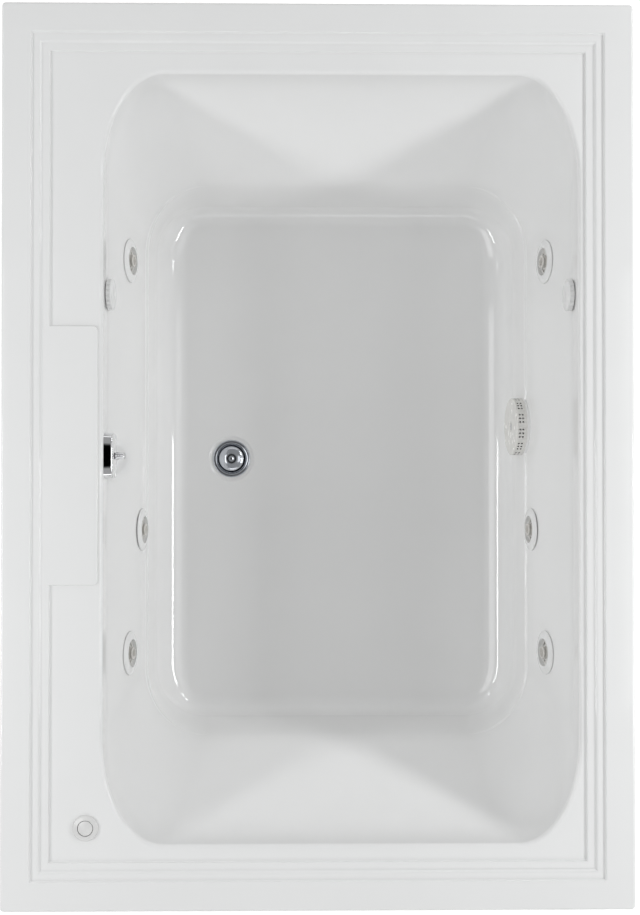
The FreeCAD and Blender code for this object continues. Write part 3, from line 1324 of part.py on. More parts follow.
def switch_spring():
    """Return spring under the button, as closed coils."""
    first = DECK_Z - SWITCH_CHAMBER_FOOT + 0.1 + SWITCH_WIRE_R
    coils = [Part.makeTorus(SWITCH_COIL_R, SWITCH_WIRE_R,
                            Vector(SWITCH_X, SWITCH_Y, first + SWITCH_COIL_PITCH * index))
             for index in range(SWITCH_COILS)]
    stack = ring(SWITCH_COIL_R - 0.3, SWITCH_COIL_R + 0.3, first - SWITCH_WIRE_R, DECK_Z - SWITCH_SKIRT - 0.4)
    stack.translate(Vector(SWITCH_X, SWITCH_Y, 0))
    return fuse(coils + [stack])


def switch_nut():
    """Nut that clamps the switch under the deck."""
    nut = hexagon(SWITCH_NUT_R, SWITCH_NUT_THICK)
    nut = nut.cut(Part.makeCylinder(SWITCH_BODY_R, THROUGH, Vector(0, 0, -THROUGH / 2)))
    nut.translate(Vector(SWITCH_X, SWITCH_Y, DECK_Z - SKIN - SWITCH_NUT_THICK))
    return nut


def switch_tube():
    """Thin air tube from the switch to the control box on the pump."""
    top = DECK_Z - SWITCH_BODY_FOOT - 2
    box_side = Vector(CASE_LEFT, PUMP_Y - 10, PUMP_Z + MOTOR_R + 32)
    points = [Vector(SWITCH_X, SWITCH_Y, top), Vector(SWITCH_X, SWITCH_Y, top - 70),
              Vector(SWITCH_X + 120, SWITCH_Y - 50, box_side.z + 60),
              Vector(box_side.x - 140, box_side.y, box_side.z),
              box_side]
    return pipe(points, SWITCH_TUBE_BEND, SWITCH_TUBE_R, SWITCH_TUBE_BORE)


# ================================================================ pump
def along_x(shape, x):
    """Turn a shape made about Z so that its axis lies on the pump axis, foot at x."""
    place = FreeCAD.Placement(Vector(x, PUMP_Y, PUMP_Z), FreeCAD.Rotation(Vector(0, 1, 0), 90))
    return placed(shape, place)


def spiral_face(start_radius, end_radius, x):
    """Face bounded by one turn of a spiral in the plane of the impeller."""
    points = []
    for index in range(SPIRAL_STEPS + 1):
        turn = math.radians(180 - 360 / SPIRAL_STEPS * index)
        radius = start_radius + (end_radius - start_radius) * index / SPIRAL_STEPS
        points.append(Vector(x, PUMP_Y + radius * math.cos(turn), PUMP_Z + radius * math.sin(turn)))
    curve = Part.BSplineCurve()
    curve.interpolate(points)
    closing = Part.LineSegment(points[-1], points[0]).toShape()
    return Part.Face(Part.Wire([curve.toShape(), closing]))


def pump_bar(x_start, x_end, radius):
    """Round bar on the pump's axis."""
    return rod(Vector(x_start, PUMP_Y, PUMP_Z), Vector(x_end, PUMP_Y, PUMP_Z), radius)


def outlet_bar(low, high, radius):
    """Round bar on the upright axis of the pump's outlet."""
    return rod(Vector(VOLUTE_MIDDLE, OUTLET_Y, low), Vector(VOLUTE_MIDDLE, OUTLET_Y, high), radius)


def pump_volute():
    """Spiral casing with an axial inlet and an upward outlet."""
    body = spiral_face(VOLUTE_R_MIN, VOLUTE_R_MAX, VOLUTE_X0).extrude(Vector(VOLUTE_X1 - VOLUTE_X0, 0, 0))
    outlet = outlet_bar(PUMP_Z, OUTLET_Z, OUTLET_R)
    inlet = pump_bar(VOLUTE_X1 - 2, INLET_X, INLET_R)
    flange = along_x(Part.makeCylinder(PUMP_FLANGE_R, PUMP_FLANGE_THICK), VOLUTE_X0)
    casing = fuse([body, outlet, inlet, flange])
    chamber = along_x(Part.makeCylinder(IMPELLER_R + 4, VOLUTE_X1 - VOLUTE_X0 - VOLUTE_WALL), VOLUTE_X0)
    eye = pump_bar(VOLUTE_X0, INLET_X, SUCTION_PIPE_BORE)
    duct = outlet_bar(PUMP_Z + 12, OUTLET_Z, OUTLET_BORE)
    gate_z = PUMP_Z + 20
    gate = rod(Vector(VOLUTE_MIDDLE, PUMP_Y - 44, gate_z), Vector(VOLUTE_MIDDLE, OUTLET_Y, gate_z),
               OUTLET_BORE - 2)
    return casing.cut([chamber, eye, duct, gate])


def pump_seal_plate():
    """Plate between the casing and the motor, with the shaft seal and bolt heads."""
    plate = ring(SHAFT_R + RUNNING_GAP, PUMP_FLANGE_R, 0, VOLUTE_X0 - MOTOR_X1)
    heads = []
    for index in range(PUMP_BOLTS):
        spot = polar(PUMP_FLANGE_R - 6, 360 / PUMP_BOLTS * (index + 0.5)).add(Vector(0, 0, -PUMP_BOLT_HEAD))
        heads.append(Part.makeCylinder(PUMP_BOLT_R, PUMP_BOLT_HEAD, spot))
    return along_x(fuse([plate] + heads), MOTOR_X1)


def pump_impeller():
    """Closed impeller with curved blades."""
    back_face = IMPELLER_BACK + IMPELLER_PLATE
    hub_r = 13
    back = lathe([(SHAFT_R, IMPELLER_BACK), (IMPELLER_R, IMPELLER_BACK), (IMPELLER_R, back_face),
                  (hub_r + 3, 6), (hub_r, IMPELLER_HUB_END), (SHAFT_R, IMPELLER_HUB_END)])
    front_foot = IMPELLER_FRONT - IMPELLER_PLATE
    front = ring(IMPELLER_EYE_R, IMPELLER_R, front_foot, IMPELLER_FRONT)
    keep = ring(hub_r + 2, IMPELLER_R - 0.5, 0, 30)
    blades = []
    for index in range(IMPELLER_BLADES):
        turn = 360 / IMPELLER_BLADES * index
        blade = ring(BLADE_R, BLADE_R + BLADE_THICK, back_face - 0.5, front_foot + 0.5)
        blade.translate(polar(BLADE_CENTRE_R, turn))
        quarter = box((0, 0, 0), (80, 80, 30))
        quarter.rotate(Vector(0, 0, 0), Vector(0, 0, 1), turn)
        blades.append(blade.common(keep).common(quarter))
    return along_x(fuse([back, front] + blades), VOLUTE_X0)


def motor_shaft():
    """Motor shaft from the fan to the impeller, with its rotor core."""
    shaft = pump_bar(MOTOR_X0 - 30, VOLUTE_X0 + IMPELLER_HUB_END, SHAFT_R)
    core = pump_bar(MOTOR_X0 + ROTOR_INSET, MOTOR_X1 - ROTOR_INSET, ROTOR_R)
    return fuse([shaft, core])


def motor_fan():
    """Cooling fan behind the motor."""
    hub = ring(SHAFT_R, 14, 0, FAN_LENGTH)
    disc = ring(10, FAN_R, 0, 2)
    blades = []
    for index in range(FAN_BLADES):
        blade = box((12, -1, 1), (FAN_R, 1, FAN_LENGTH))
        blade.rotate(Vector(0, 0, 0), Vector(0, 0, 1), 360 / FAN_BLADES * index)
        blades.append(blade)
    return along_x(fuse([hub, disc] + blades), MOTOR_X0 - FAN_INSET)


def motor_housing():
    """Finned aluminium housing, open at the fan end."""
    tip_r = MOTOR_R + FIN_HEIGHT
    points = []
    for index in range(FIN_COUNT):
        for part, radius in ((-FIN_FOOT, MOTOR_R), (-FIN_TIP, tip_r), (FIN_TIP, tip_r), (FIN_FOOT, MOTOR_R)):
            points.append(polar(radius, 360 * (index + part) / FIN_COUNT))
    length = MOTOR_X1 - MOTOR_X0
    body = Part.Face(Part.makePolygon(points + points[:1])).extrude(Vector(0, 0, length))
    cavity = Part.makeCylinder(MOTOR_R - MOTOR_WALL, length - 2 * MOTOR_END_THICK,
                               Vector(0, 0, MOTOR_END_THICK))
    passage = Part.makeCylinder(SHAFT_R + RUNNING_GAP, length + 2, Vector(0, 0, -1))
    return along_x(body.cut([cavity, passage]), MOTOR_X0)


def motor_end_cover():
    """Fan cowl with air slots."""
    outer = MOTOR_R + FIN_HEIGHT + COVER_WALL
    inner = outer - COVER_WALL
    end = -COVER_LENGTH
    inside = end + COVER_FACE
    cup = lathe([(0, end), (outer - COVER_ROUND, end, -ROUND_BULGE), (outer, end + COVER_ROUND),
                 (outer, COVER_LAP),
                 (inner, COVER_LAP), (inner, end + COVER_ROUND), (outer - COVER_ROUND - 1, inside),
                 (0, inside)])
    slots = []
    for index in range(COVER_SLOTS):
        slot = box((20, -2, end - 5), (54, 2, inside + 1))
        slot.rotate(Vector(0, 0, 0), Vector(0, 0, 1), 360 / COVER_SLOTS * index)
        slots.append(slot)
    return along_x(cup.cut(slots), MOTOR_X0)


def motor_foot():
    """Cradle that stands the motor on the board."""
    plate = box((FOOT_LEFT, PUMP_Y - FOOT_HALF, BOARD_TOP),
                (FOOT_RIGHT, PUMP_Y + FOOT_HALF, BOARD_TOP + FOOT_THICK))
    plate = plate.makeFillet(10, upright_edges(plate))
    ribs = [box((x, PUMP_Y - FOOT_RIB_HALF, BOARD_TOP),
                (x + FOOT_RIB_THICK, PUMP_Y + FOOT_RIB_HALF, PUMP_Z - 24))
            for x in FOOT_RIBS]
    cradle = pump_bar(FOOT_LEFT - 20, FOOT_RIGHT + 20, MOTOR_R + FIN_HEIGHT)
    holes = [Part.makeCylinder(FOOT_HOLE_R, 30, Vector(x, PUMP_Y + sign * FOOT_HOLE_Y, BOARD_TOP - 10))
             for x in (FOOT_LEFT + FOOT_HOLE_INSET, FOOT_RIGHT - FOOT_HOLE_INSET) for sign in (-1, 1)]
    return fuse([plate] + ribs).cut([cradle] + holes)


def control_box():
    """Air-switch and motor control box with a cable gland and the air tube's nipple."""
    low = PUMP_Z + MOTOR_R - CASE_SINK
    case = box((CASE_LEFT, PUMP_Y - CASE_HALF, low), (CASE_RIGHT, PUMP_Y + CASE_HALF, low + CASE_HEIGHT))
    case = case.makeFillet(CASE_ROUND, [e for e in case.Edges if e.BoundBox.ZMax > low + 1])
    motor = pump_bar(CASE_LEFT - 10, CASE_RIGHT + 10, MOTOR_R + FIN_HEIGHT)
    gland_at = Vector(CASE_RIGHT, PUMP_Y + GLAND_Y, low + GLAND_HEIGHT)
    gland = rod(gland_at.add(Vector(-2, 0, 0)), gland_at.add(Vector(GLAND_LENGTH, 0, 0)), GLAND_R)
    gland_hole = rod(gland_at.add(Vector(4, 0, 0)), gland_at.add(Vector(GLAND_LENGTH + 4, 0, 0)), GLAND_BORE)
    return fuse([case, gland]).cut([motor, gland_hole])


def union_nut(length, bore):
    """Large ribbed union nut about Z."""
    nut = ring(bore, UNION_R, 0, length)
    rib_half = 3
    ribs = []
    for index in range(UNION_RIBS):
        rib = box((UNION_R - 2, -rib_half, 0), (UNION_R + 3.5, rib_half, length))
        rib.rotate(Vector(0, 0, 0), Vector(0, 0, 1), 360 / UNION_RIBS * index)
        ribs.append(rib)
    return fuse([nut] + ribs)


def union_nuts():
    """Union nuts at the pump's inlet and outlet."""
    inlet = along_x(union_nut(INLET_UNION, INLET_R), INLET_X - INLET_UNION)
    lip = along_x(ring(SUCTION_PIPE_R, UNION_R, 0, 6), INLET_X)
    outlet = union_nut(OUTLET_UNION, OUTLET_R)
    outlet.translate(Vector(VOLUTE_MIDDLE, OUTLET_Y, OUTLET_Z - OUTLET_UNION))
    return group([fuse([inlet, lip]), outlet])


def pump_discharge():
    """Riser from the pump to the tee of the water line."""
    line_z = water_port("left_foot", 1).z
    tee_left = Vector(VOLUTE_MIDDLE - RISER_TEE_HALF, OUTLET_Y, line_z)
    tee_right = Vector(VOLUTE_MIDDLE + RISER_TEE_HALF, OUTLET_Y, line_z)
    body = fuse([outlet_bar(OUTLET_Z, line_z, RISER_R), rod(tee_left, tee_right, RISER_TEE_R)])
    return body.cut([outlet_bar(OUTLET_Z, line_z, RISER_BORE), rod(tee_left, tee_right, WATER_R)])


def water_port(name, sign):
    """End of a jet body's water tee; sign 1 gives the port nearer the pump end."""
    place = dict(jet_places())[name]
    ends = [place.multVec(Vector(side * JET_TEE_HALF, 0, JET_TEE_Z)) for side in (-1, 1)]
    return min(ends, key=lambda point: sign * point.y)


def water_line():
    """Discharge riser, hoses from jet to jet along each side, and round the pump end to the riser's tee."""
    hoses = [pump_discharge()]
    for side_name, sign in SIDES:
        for upper, lower in (("head", "middle"), ("middle", "foot")):
            start = water_port("%s_%s" % (side_name, upper), 1).add(Vector(0, HOSE_SEAT, 0))
            end = water_port("%s_%s" % (side_name, lower), -1).add(Vector(0, -HOSE_SEAT, 0))
            lead = (start.y - end.y) * LEAD_SHARE
            points = [start, start.add(Vector(0, -lead, 0)), end.add(Vector(0, lead, 0)), end]
            hoses.append(pipe(points, SIDE_BEND_R, WATER_R, WATER_BORE))
        start = water_port("%s_foot" % side_name, 1).add(Vector(0, HOSE_SEAT, 0))
        end = Vector(VOLUTE_MIDDLE + sign * (RISER_TEE_HALF - HOSE_SEAT), OUTLET_Y, start.z)
        hoses.append(pipe([start, Vector(start.x, OUTLET_Y, start.z), end], END_BEND_R, WATER_R, WATER_BORE))
    return group(hoses)


def air_hose(side, side_name):
    """Air line of one side: a trunk under the rim with a branch to the control and to each jet."""
    trunk_x = BASIN_X + side * AIR_TRUNK_OFFSET
    trunk = rod(Vector(trunk_x, AIR_TRUNK_HEAD, AIR_TRUNK_Z), Vector(trunk_x, AIR_TRUNK_FOOT, AIR_TRUNK_Z),
                AIR_TRUNK_R)
    solids = [trunk]
    for name, place in jet_places():
        if name.startswith(side_name):
            foot = place.multVec(Vector(0, JET_AIR_Y - 14, JET_AIR_Z))
            up = place.multVec(Vector(0, JET_AIR_Y + 30, JET_AIR_Z))
            corner = Vector(trunk_x, up.y, AIR_TRUNK_Z)
            solids.append(swept(bent_path([foot, up, corner], AIR_BRANCH_BEND), AIR_BRANCH_R))
    place = wall_place(side, AIR_Y, FITTING_DEPTH)
    start = place.multVec(Vector(0, AIR_ELBOW_END / 2 + 1, AIR_ELBOW_Z))
    below = place.multVec(Vector(0, AIR_ELBOW_END / 2, AIR_ELBOW_Z)).sub(start)
    drop = start.add(below.multiply((AIR_TRUNK_Z - start.z) / below.z))
    feed = bent_path([start, drop, Vector(trunk_x, drop.y, drop.z)], AIR_FEED_BEND)
    solids.append(swept(feed, AIR_FEED_R))
    return fuse(solids)


def air_hoses():
    """Both air lines."""
    return group([air_hose(side, side_name) for side_name, side in SIDES])


# ================================================================ nodes
def build():
    """Write every node."""
    os.makedirs("parts", exist_ok=True)
    export(tub_shell(), "tub_shell")
    for name, maker in (("rim_rails", rim_rails), ("base_board", base_board), ("base_bearers", base_bearers),
                        ("foot_pads", foot_pads)):
        export(maker(), name)

    jets = jet_places()
    for name, maker in (("jet_wall_fittings", jet_wall_fitting), ("jet_gaskets", jet_gasket),
                        ("jet_bodies", jet_body)):
        piece = maker()
        export(group([placed(piece, place) for _, place in jets]), name)
    turning = jet_ring()
    nozzle = jet_nozzle()
    for name, place in jets:
        export(placed(turning, place), "jet_ring_%s" % name)
        export(placed(nozzle, place), "jet_nozzle_%s" % name)

    controls = air_places()
    for name, maker in (("air_control_bodies", air_control_body), ("air_control_nuts", air_control_nut)):
        piece = maker()
        export(group([placed(piece, place) for _, place in controls]), name)
    knob = air_control_knob()
    for name, place in controls:
        export(placed(knob, place), "air_control_knob_%s" % name)

    for name, maker in (("suction_cover", suction_cover), ("suction_screw", suction_screw),
                        ("suction_body", suction_body), ("suction_nut", suction_nut)):
        export(placed(maker(), suction_place()), name)

    for maker in (drain_flange, drain_gasket, drain_shoe, drain_stopper, rocker_arm, lift_rod, overflow_plate,
                  overflow_screws, overflow_gasket, overflow_elbow, overflow_tube, waste_tee, slip_nuts,
                  trip_lever,
                  switch_bezel, switch_button, switch_spring, switch_nut, switch_tube,
                  pump_volute, pump_seal_plate, pump_impeller, motor_shaft, motor_fan, motor_housing,
                  motor_end_cover, motor_foot, control_box, union_nuts, suction_pipe, water_line, air_hoses):
        export(maker(), maker.__name__)


build()
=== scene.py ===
import math

import bmesh
import bpy
from mathutils import Matrix, Vector


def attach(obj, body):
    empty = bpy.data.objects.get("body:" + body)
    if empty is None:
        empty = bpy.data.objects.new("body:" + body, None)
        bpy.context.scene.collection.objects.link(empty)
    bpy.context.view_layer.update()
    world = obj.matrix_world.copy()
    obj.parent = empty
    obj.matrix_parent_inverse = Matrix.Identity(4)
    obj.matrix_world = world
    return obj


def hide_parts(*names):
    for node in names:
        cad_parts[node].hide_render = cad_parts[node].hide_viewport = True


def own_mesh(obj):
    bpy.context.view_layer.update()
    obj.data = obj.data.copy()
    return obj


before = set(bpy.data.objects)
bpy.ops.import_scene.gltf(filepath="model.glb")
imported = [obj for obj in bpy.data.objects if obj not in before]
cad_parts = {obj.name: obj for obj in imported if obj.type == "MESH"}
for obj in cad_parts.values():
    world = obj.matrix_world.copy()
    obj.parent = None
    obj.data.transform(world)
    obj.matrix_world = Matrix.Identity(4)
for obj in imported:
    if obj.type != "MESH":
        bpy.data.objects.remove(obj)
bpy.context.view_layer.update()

# Jetted bathtub, metres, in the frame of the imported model: +Z up, origin on the floor, middle of the box.

# ---------------------------------------------------------------- overall
WIDTH = 1.060
LENGTH = 1.518
HEIGHT = 0.546
SKIN = 0.006

# rim moulding: an outer frame, then steps down to the deck
FRAME_WIDTH = 0.050
STEP_PITCH = 0.015
STEP_DROP = 0.004
STEP_RUNS = (0.005, 0.009, 0.004)
STEP_COUNT = len(STEP_RUNS)
LIP_DEPTH = 0.044
LIP_ROUND = 0.005
OUTER_CORNER = 0.007
DECK_Z = HEIGHT - STEP_COUNT * STEP_DROP

# faucet panel, flush with the second tread
PANEL_RIGHT = -0.3695
PANEL_HALF_LENGTH = 0.217
PANEL_CORNER = 0.008
PANEL_EDGE = 0.0016
PANEL_FOOT = 0.0008

# basin
BASIN_X = 0.038
BASIN_Y = -0.004
HALF_X = 0.400
HALF_Y = 0.647
RIM_ROUND = 0.007
DECK_DEPTH = HEIGHT - DECK_Z
FLOOR_DEPTH = 0.432
FLOOR_Z = HEIGHT - FLOOR_DEPTH
SIDE_ROUND = 0.060              # fillet at the floor along the sides
END_ROUND = 0.038               # fillet at the floor at the ends
# walls lean in by straight stretches joined with soft bends: depth, added slope, softness
LEAN_START = DECK_DEPTH - 0.040
SIDE_BENDS = ((LEAN_START, 0.01, 0.001), (0.070, 0.20, 0.008), (0.265, -0.11, 0.015))
END_BENDS = ((LEAN_START, 0.04, 0.001), (0.062, 0.56, 0.018), (0.285, -0.428, 0.012))
# reach of the corner curves: at the deck, then its change with the depth and the depth squared
CORNER_X_LAW = (0.102, 0.066, -0.080)
CORNER_Y_LAW = (0.176, -0.040, -0.046)
CIRCLE_PULL = 0.5523            # handle of a cubic curve that stands for a quarter circle
# small shelf along both side walls
LEDGE_DEPTH = 0.300
LEDGE_WIDTH = 0.004
LEDGE_SOFT = 0.0007

# fineness of the meshes
LONG_POINTS = 104               # on a straight side of the basin's outline
END_POINTS = 16                 # on a straight end
CORNER_POINTS = 26
WALL_STEP = 0.0065              # height between the levels of the wall
BACK_STEP = 0.013               # the same for its back
LEDGE_LEVELS = 6                # extra levels above the ledge's middle, and below it
ARC_STEPS = 6
OUTER_ARC_STEPS = 4
RIM_STEPS = 8
FLOOR_STEPS = 14                # levels of the floor fillet
FLOOR_BACK_STEPS = 8            # levels of the fillet on the back
SLOPE_PROBE = 0.002             # height over which the wall's slope at the floor is measured
ROUND_POINTS = 72
SOFT_STEPS = 5
SAME_SPOT = 0.00001             # vertices this close are one
SHARP_FOLD = math.radians(32)
DRILL_REACH = 0.022             # how far along a hole's axis the wall is cut
DRILL_SLACK = 1.04              # vertices this near to a hole's edge go as well

# wall fittings
JET_DEPTH_END = 0.195
JET_DEPTH_MIDDLE = 0.270
JET_SPOTS = ((0.352, JET_DEPTH_END), (-0.1325, JET_DEPTH_MIDDLE), (-0.351, JET_DEPTH_END))
SIDES = (-1, 1)
JET_HOLE_R = 0.028
AIR_Y = 0.276
AIR_HOLE_R = 0.015
FITTING_DEPTH = 0.064
OVERFLOW_HOLE_R = 0.0275
SUCTION_Y = 0.059
SUCTION_DEPTH = 0.330
SUCTION_HOLE_R = 0.0305
SUCTION_PAD_R = 0.0565
SUCTION_PAD_EDGE = 0.0002
SUCTION_PAD_LAP = 0.0005
SUCTION_PAD_LOW = -0.014
SUCTION_SLOPE = 0.10

# drain: a shallow dish in the floor, as (radius, height above the floor), and a boss below
DRAIN_X = -0.163
DRAIN_HOLE_R = 0.0285
DRAIN_DISH = ((0.0448, 0.0), (0.0440, -0.00032), (0.0432, -0.00096), (0.0410, -0.00236),
              (0.0400, -0.00284), (0.0388, -0.0030), (DRAIN_HOLE_R, -0.0030))
DRAIN_BOSS_R = 0.048
DRAIN_BOSS_DROP = 0.003

# air switch, heights from the deck
SWITCH_X = -0.389
SWITCH_Y = -0.622
SWITCH_HOLE_R = 0.017
BEZEL_R = 0.022
BEZEL_TOP = 0.0052
BEZEL_BROW_R = BEZEL_R - 0.0014
BEZEL_BROW_Z = BEZEL_TOP - 0.0018
BEZEL_SEAT = 0.0002
BEZEL_WELL_R = 0.0133
BEZEL_BODY_R = 0.016
BEZEL_SHELF = -0.013
BEZEL_CHAMBER_R = 0.0105
BEZEL_CHAMBER_FOOT = -0.031
BEZEL_BODY_FOOT = -0.034
NIPPLE_R = 0.003
NIPPLE_FOOT = -0.046
BUTTON_R = 0.0125
BUTTON_TOP = 0.0054
BUTTON_SIDE = BUTTON_TOP - 0.0018
BUTTON_FOOT = -0.007
# the cap's dome, as (radius, depth below its top)
BUTTON_DOME = ((BUTTON_R - 0.0006, 0.0010), (0.0095, 0.0005), (0.0065, 0.0002), (0.0030, 0.0), (0.0, 0.0))
STUD_R = 0.004
STUD_FOOT = -0.012
SPRING_R = 0.007
SPRING_WIRE_R = 0.0007
SPRING_WIRE_POINTS = 8
SPRING_TURNS = 6
SPRING_TURN_STEPS = 24
SPRING_FOOT = -0.0302
SPRING_TOP = -0.0082

# jet flange, turned about the jet's axis, heights from the wall: a black gasket ring under its edge paints
# the gap's shadow
JET_FLANGE_R = 0.039
JET_EDGE_Z = 0.0024
JET_BROW_R = 0.034
JET_BROW_Z = 0.0044
JET_CREST_R = 0.0275
JET_CREST_Z = 0.0062
JET_MOUTH_Z = 0.0060
JET_BORE_R = 0.0246
JET_SHELF_Z = -0.009
JET_THROAT_R = 0.015
JET_BARREL_R = 0.0275
JET_BARREL_FOOT = -0.024
JET_SHADOW_GASKET_R = 0.0362
JET_SHADOW_GASKET_TOP = 0.0007
WALL_SEAT = -0.0002

# suction cover: a drum on the right wall, its holes set out on a grid of square cells
COVER_R = 0.0535
COVER_WALL = 0.0026
COVER_FOOT = -0.0060
COVER_COLUMNS = 288             # cells round the wall
COVER_ROWS = 20                 # cells up the wall
COVER_CELL = 2 * math.pi * COVER_R / COVER_COLUMNS
COVER_GROUPS = 12
COVER_HOLE_R = 0.0017
COVER_HOLE_PITCH = 6            # cells between the holes of a group
COVER_HOLE_ROWS = (12, 17)
COVER_HALF_BLOCK = 2            # half the width in cells of the block that a hole is cut in
COVER_FACE_Z = 0.0190
COVER_EDGE = 0.0015
COVER_CROWN_Z = COVER_FACE_Z + 0.0006
COVER_SCREW_R = 0.0062
COVER_CROWN_R = COVER_SCREW_R + 0.004
COVER_DIMPLE_R = COVER_SCREW_R + 0.0006
COVER_DIMPLE_Z = COVER_FACE_Z - 0.0016
COVER_SCREW_ROOT = COVER_DIMPLE_Z - 0.001
COVER_SCREW_EDGE = COVER_DIMPLE_Z + 0.0014
COVER_SCREW_TOP = COVER_DIMPLE_Z + 0.0018

# overflow plate: a deep cup with an upright face and a little draft on its sides
PLATE_HALF = 0.0397
PLATE_DRAFT = 0.0012
PLATE_SQUARENESS = 5.0          # 2 is a circle, more is squarer
PLATE_BACK = -0.003
PLATE_PROUD = 0.0135
PLATE_EDGE = 0.0024
PLATE_FRONT = PLATE_HALF - PLATE_DRAFT
PLATE_FLAT = PLATE_FRONT - 0.006
PLATE_SCREW_Y = 0.024
# head of its screws, as (radius, height, rounding)
PLATE_SCREW = ((0.0046, -0.001, 0), (0.0046, 0.0012, 0.0008), (0.0, 0.0022, 0))
SLOT_HALF = 0.0056
SLOT_REACH = 0.013
SLOT_DEPTH = 0.003
SLOT_STEPS = 8

# camera straight above the rim, with the small tilt that the framing shows
CAMERA_PLACE = (-0.039, -0.038, 3.146)
CAMERA_TARGET = (0.0023, -0.0035, HEIGHT)
CAMERA_LENS = 61.25
CAMERA_SENSOR = 36.0

# studio: strips low beside the tub, a panel higher on each side, a light at each end, a dim ceiling
DAYLIGHT = (0.985, 0.995, 1.0)
FLOOR_REACH = 30.0
STRIP_X = 1.80
STRIP_Z = 1.45
STRIP_TALL = 0.22
PANEL_X = 1.55
PANEL_Z = 2.80
PANEL_TALL = 1.15
END_Y = 2.30
END_Z = 1.50
END_SIZE = (2.4, 0.5)
AIM_Z = 0.40
FOOT_SPAN = (-0.80, 0.10)
HEAD_SPAN = (0.70, 1.80)
PANEL_SPAN = (-0.80, 0.65)
# name, X, Z, span along Y, height, watts
SIDE_LIGHTS = (("left_foot_strip", -STRIP_X, STRIP_Z, FOOT_SPAN, STRIP_TALL, 8.8),
               ("left_head_strip", -STRIP_X, STRIP_Z, HEAD_SPAN, STRIP_TALL, 3.2),
               ("left_panel", -PANEL_X, PANEL_Z, PANEL_SPAN, PANEL_TALL, 13.2),
               ("right_foot_strip", STRIP_X, STRIP_Z, FOOT_SPAN, STRIP_TALL, 12.2),
               ("right_head_strip", STRIP_X, STRIP_Z, HEAD_SPAN, STRIP_TALL, 10.0),
               ("right_panel", PANEL_X, PANEL_Z, PANEL_SPAN, PANEL_TALL, 6.0))
# name, Y, watts
END_LIGHTS = (("head_light", END_Y, 3.6), ("foot_light", -END_Y, 8.7))
CEILING_LIGHT = 0.35
CEILING_DARK = 5.0              # degrees from the zenith that are dark
CEILING_FADE = 12.0             # degrees from the zenith where the full light starts
FLOOR_GLOW = 0.45


# ================================================================ materials
def shader(name, colour, roughness, metallic=0.0, **sockets):
    """Principled material; the extra sockets are constants set on the shader itself."""
    material = bpy.data.materials.new(name)
    material.use_nodes = True
    tree = material.node_tree
    principled = tree.nodes["Principled BSDF"]
    principled.inputs["Base Color"].default_value = (*colour, 1)
    principled.inputs["Roughness"].default_value = roughness
    principled.inputs["Metallic"].default_value = metallic
    for socket, value in sockets.items():
        principled.inputs[socket.replace("_", " ")].default_value = value
    return material, tree, principled


def noise(tree, scale, detail=3.0, stretch=(1, 1, 1), roughness=0.5):
    """Noise in object space, stretched along an axis if wanted."""
    where = tree.nodes.new("ShaderNodeTexCoord")
    mapping = tree.nodes.new("ShaderNodeMapping")
    mapping.inputs["Scale"].default_value = stretch
    texture = tree.nodes.new("ShaderNodeTexNoise")
    texture.inputs["Scale"].default_value = scale
    texture.inputs["Detail"].default_value = detail
    texture.inputs["Roughness"].default_value = roughness
    tree.links.new(where.outputs["Object"], mapping.inputs["Vector"])
    tree.links.new(mapping.outputs["Vector"], texture.inputs["Vector"])
    return texture.outputs["Fac"]


def tint(tree, factor, principled, dark, light, low=0.35, high=0.65):
    """Base colour between two tints."""
    ramp = tree.nodes.new("ShaderNodeValToRGB")
    ramp.color_ramp.elements[0].position = low
    ramp.color_ramp.elements[0].color = (*dark, 1)
    ramp.color_ramp.elements[1].position = high
    ramp.color_ramp.elements[1].color = (*light, 1)
    tree.links.new(factor, ramp.inputs["Fac"])
    tree.links.new(ramp.outputs["Color"], principled.inputs["Base Color"])


def worn(tree, factor, principled, low, high):
    """Roughness between two values."""
    span = tree.nodes.new("ShaderNodeMapRange")
    span.inputs["To Min"].default_value = low
    span.inputs["To Max"].default_value = high
    tree.links.new(factor, span.inputs["Value"])
    tree.links.new(span.outputs["Result"], principled.inputs["Roughness"])


def relief(tree, factor, principled, height, strength=1.0):
    """Bump of a real height in metres."""
    bump = tree.nodes.new("ShaderNodeBump")
    bump.inputs["Strength"].default_value = strength
    bump.inputs["Distance"].default_value = height
    tree.links.new(factor, bump.inputs["Height"])
    tree.links.new(bump.outputs["Normal"], principled.inputs["Normal"])


def scaled(colour, factor):
    """A colour made lighter or darker."""
    return tuple(min(1.0, channel * factor) for channel in colour)


def plastic(name, colour, roughness, grain=60.0, height=0.00002, spread=0.03, **sockets):
    """Moulded plastic with a faint uneven gloss."""
    material, tree, principled = shader(name, colour, roughness, **sockets)
    factor = noise(tree, grain)
    tint(tree, factor, principled, scaled(colour, 1 - spread), scaled(colour, 1 + spread))
    worn(tree, factor, principled, roughness * 0.8, roughness * 1.2)
    relief(tree, factor, principled, height)
    return material


def metal(name, colour, roughness, grain=90.0, stretch=(1, 1, 1), height=0.00001):
    """Metal with fine wear."""
    material, tree, principled = shader(name, colour, roughness, metallic=1.0)
    factor = noise(tree, grain, 4.0, stretch)
    tint(tree, factor, principled, scaled(colour, 0.93), scaled(colour, 1.04))
    worn(tree, factor, principled, roughness * 0.7, roughness * 1.4)
    relief(tree, factor, principled, height)
    return material


def acrylic():
    """Glossy white sanitary acrylic."""
    white = (0.852, 0.851, 0.846)
    material, tree, principled = shader("acrylic_white", white, 0.06)
    factor = noise(tree, 9.0, 2.0)
    tint(tree, factor, principled, scaled(white, 0.995), scaled(white, 1.005))
    worn(tree, factor, principled, 0.05, 0.07)
    relief(tree, noise(tree, 24.0, 1.0), principled, 0.00004, 0.5)
    return material


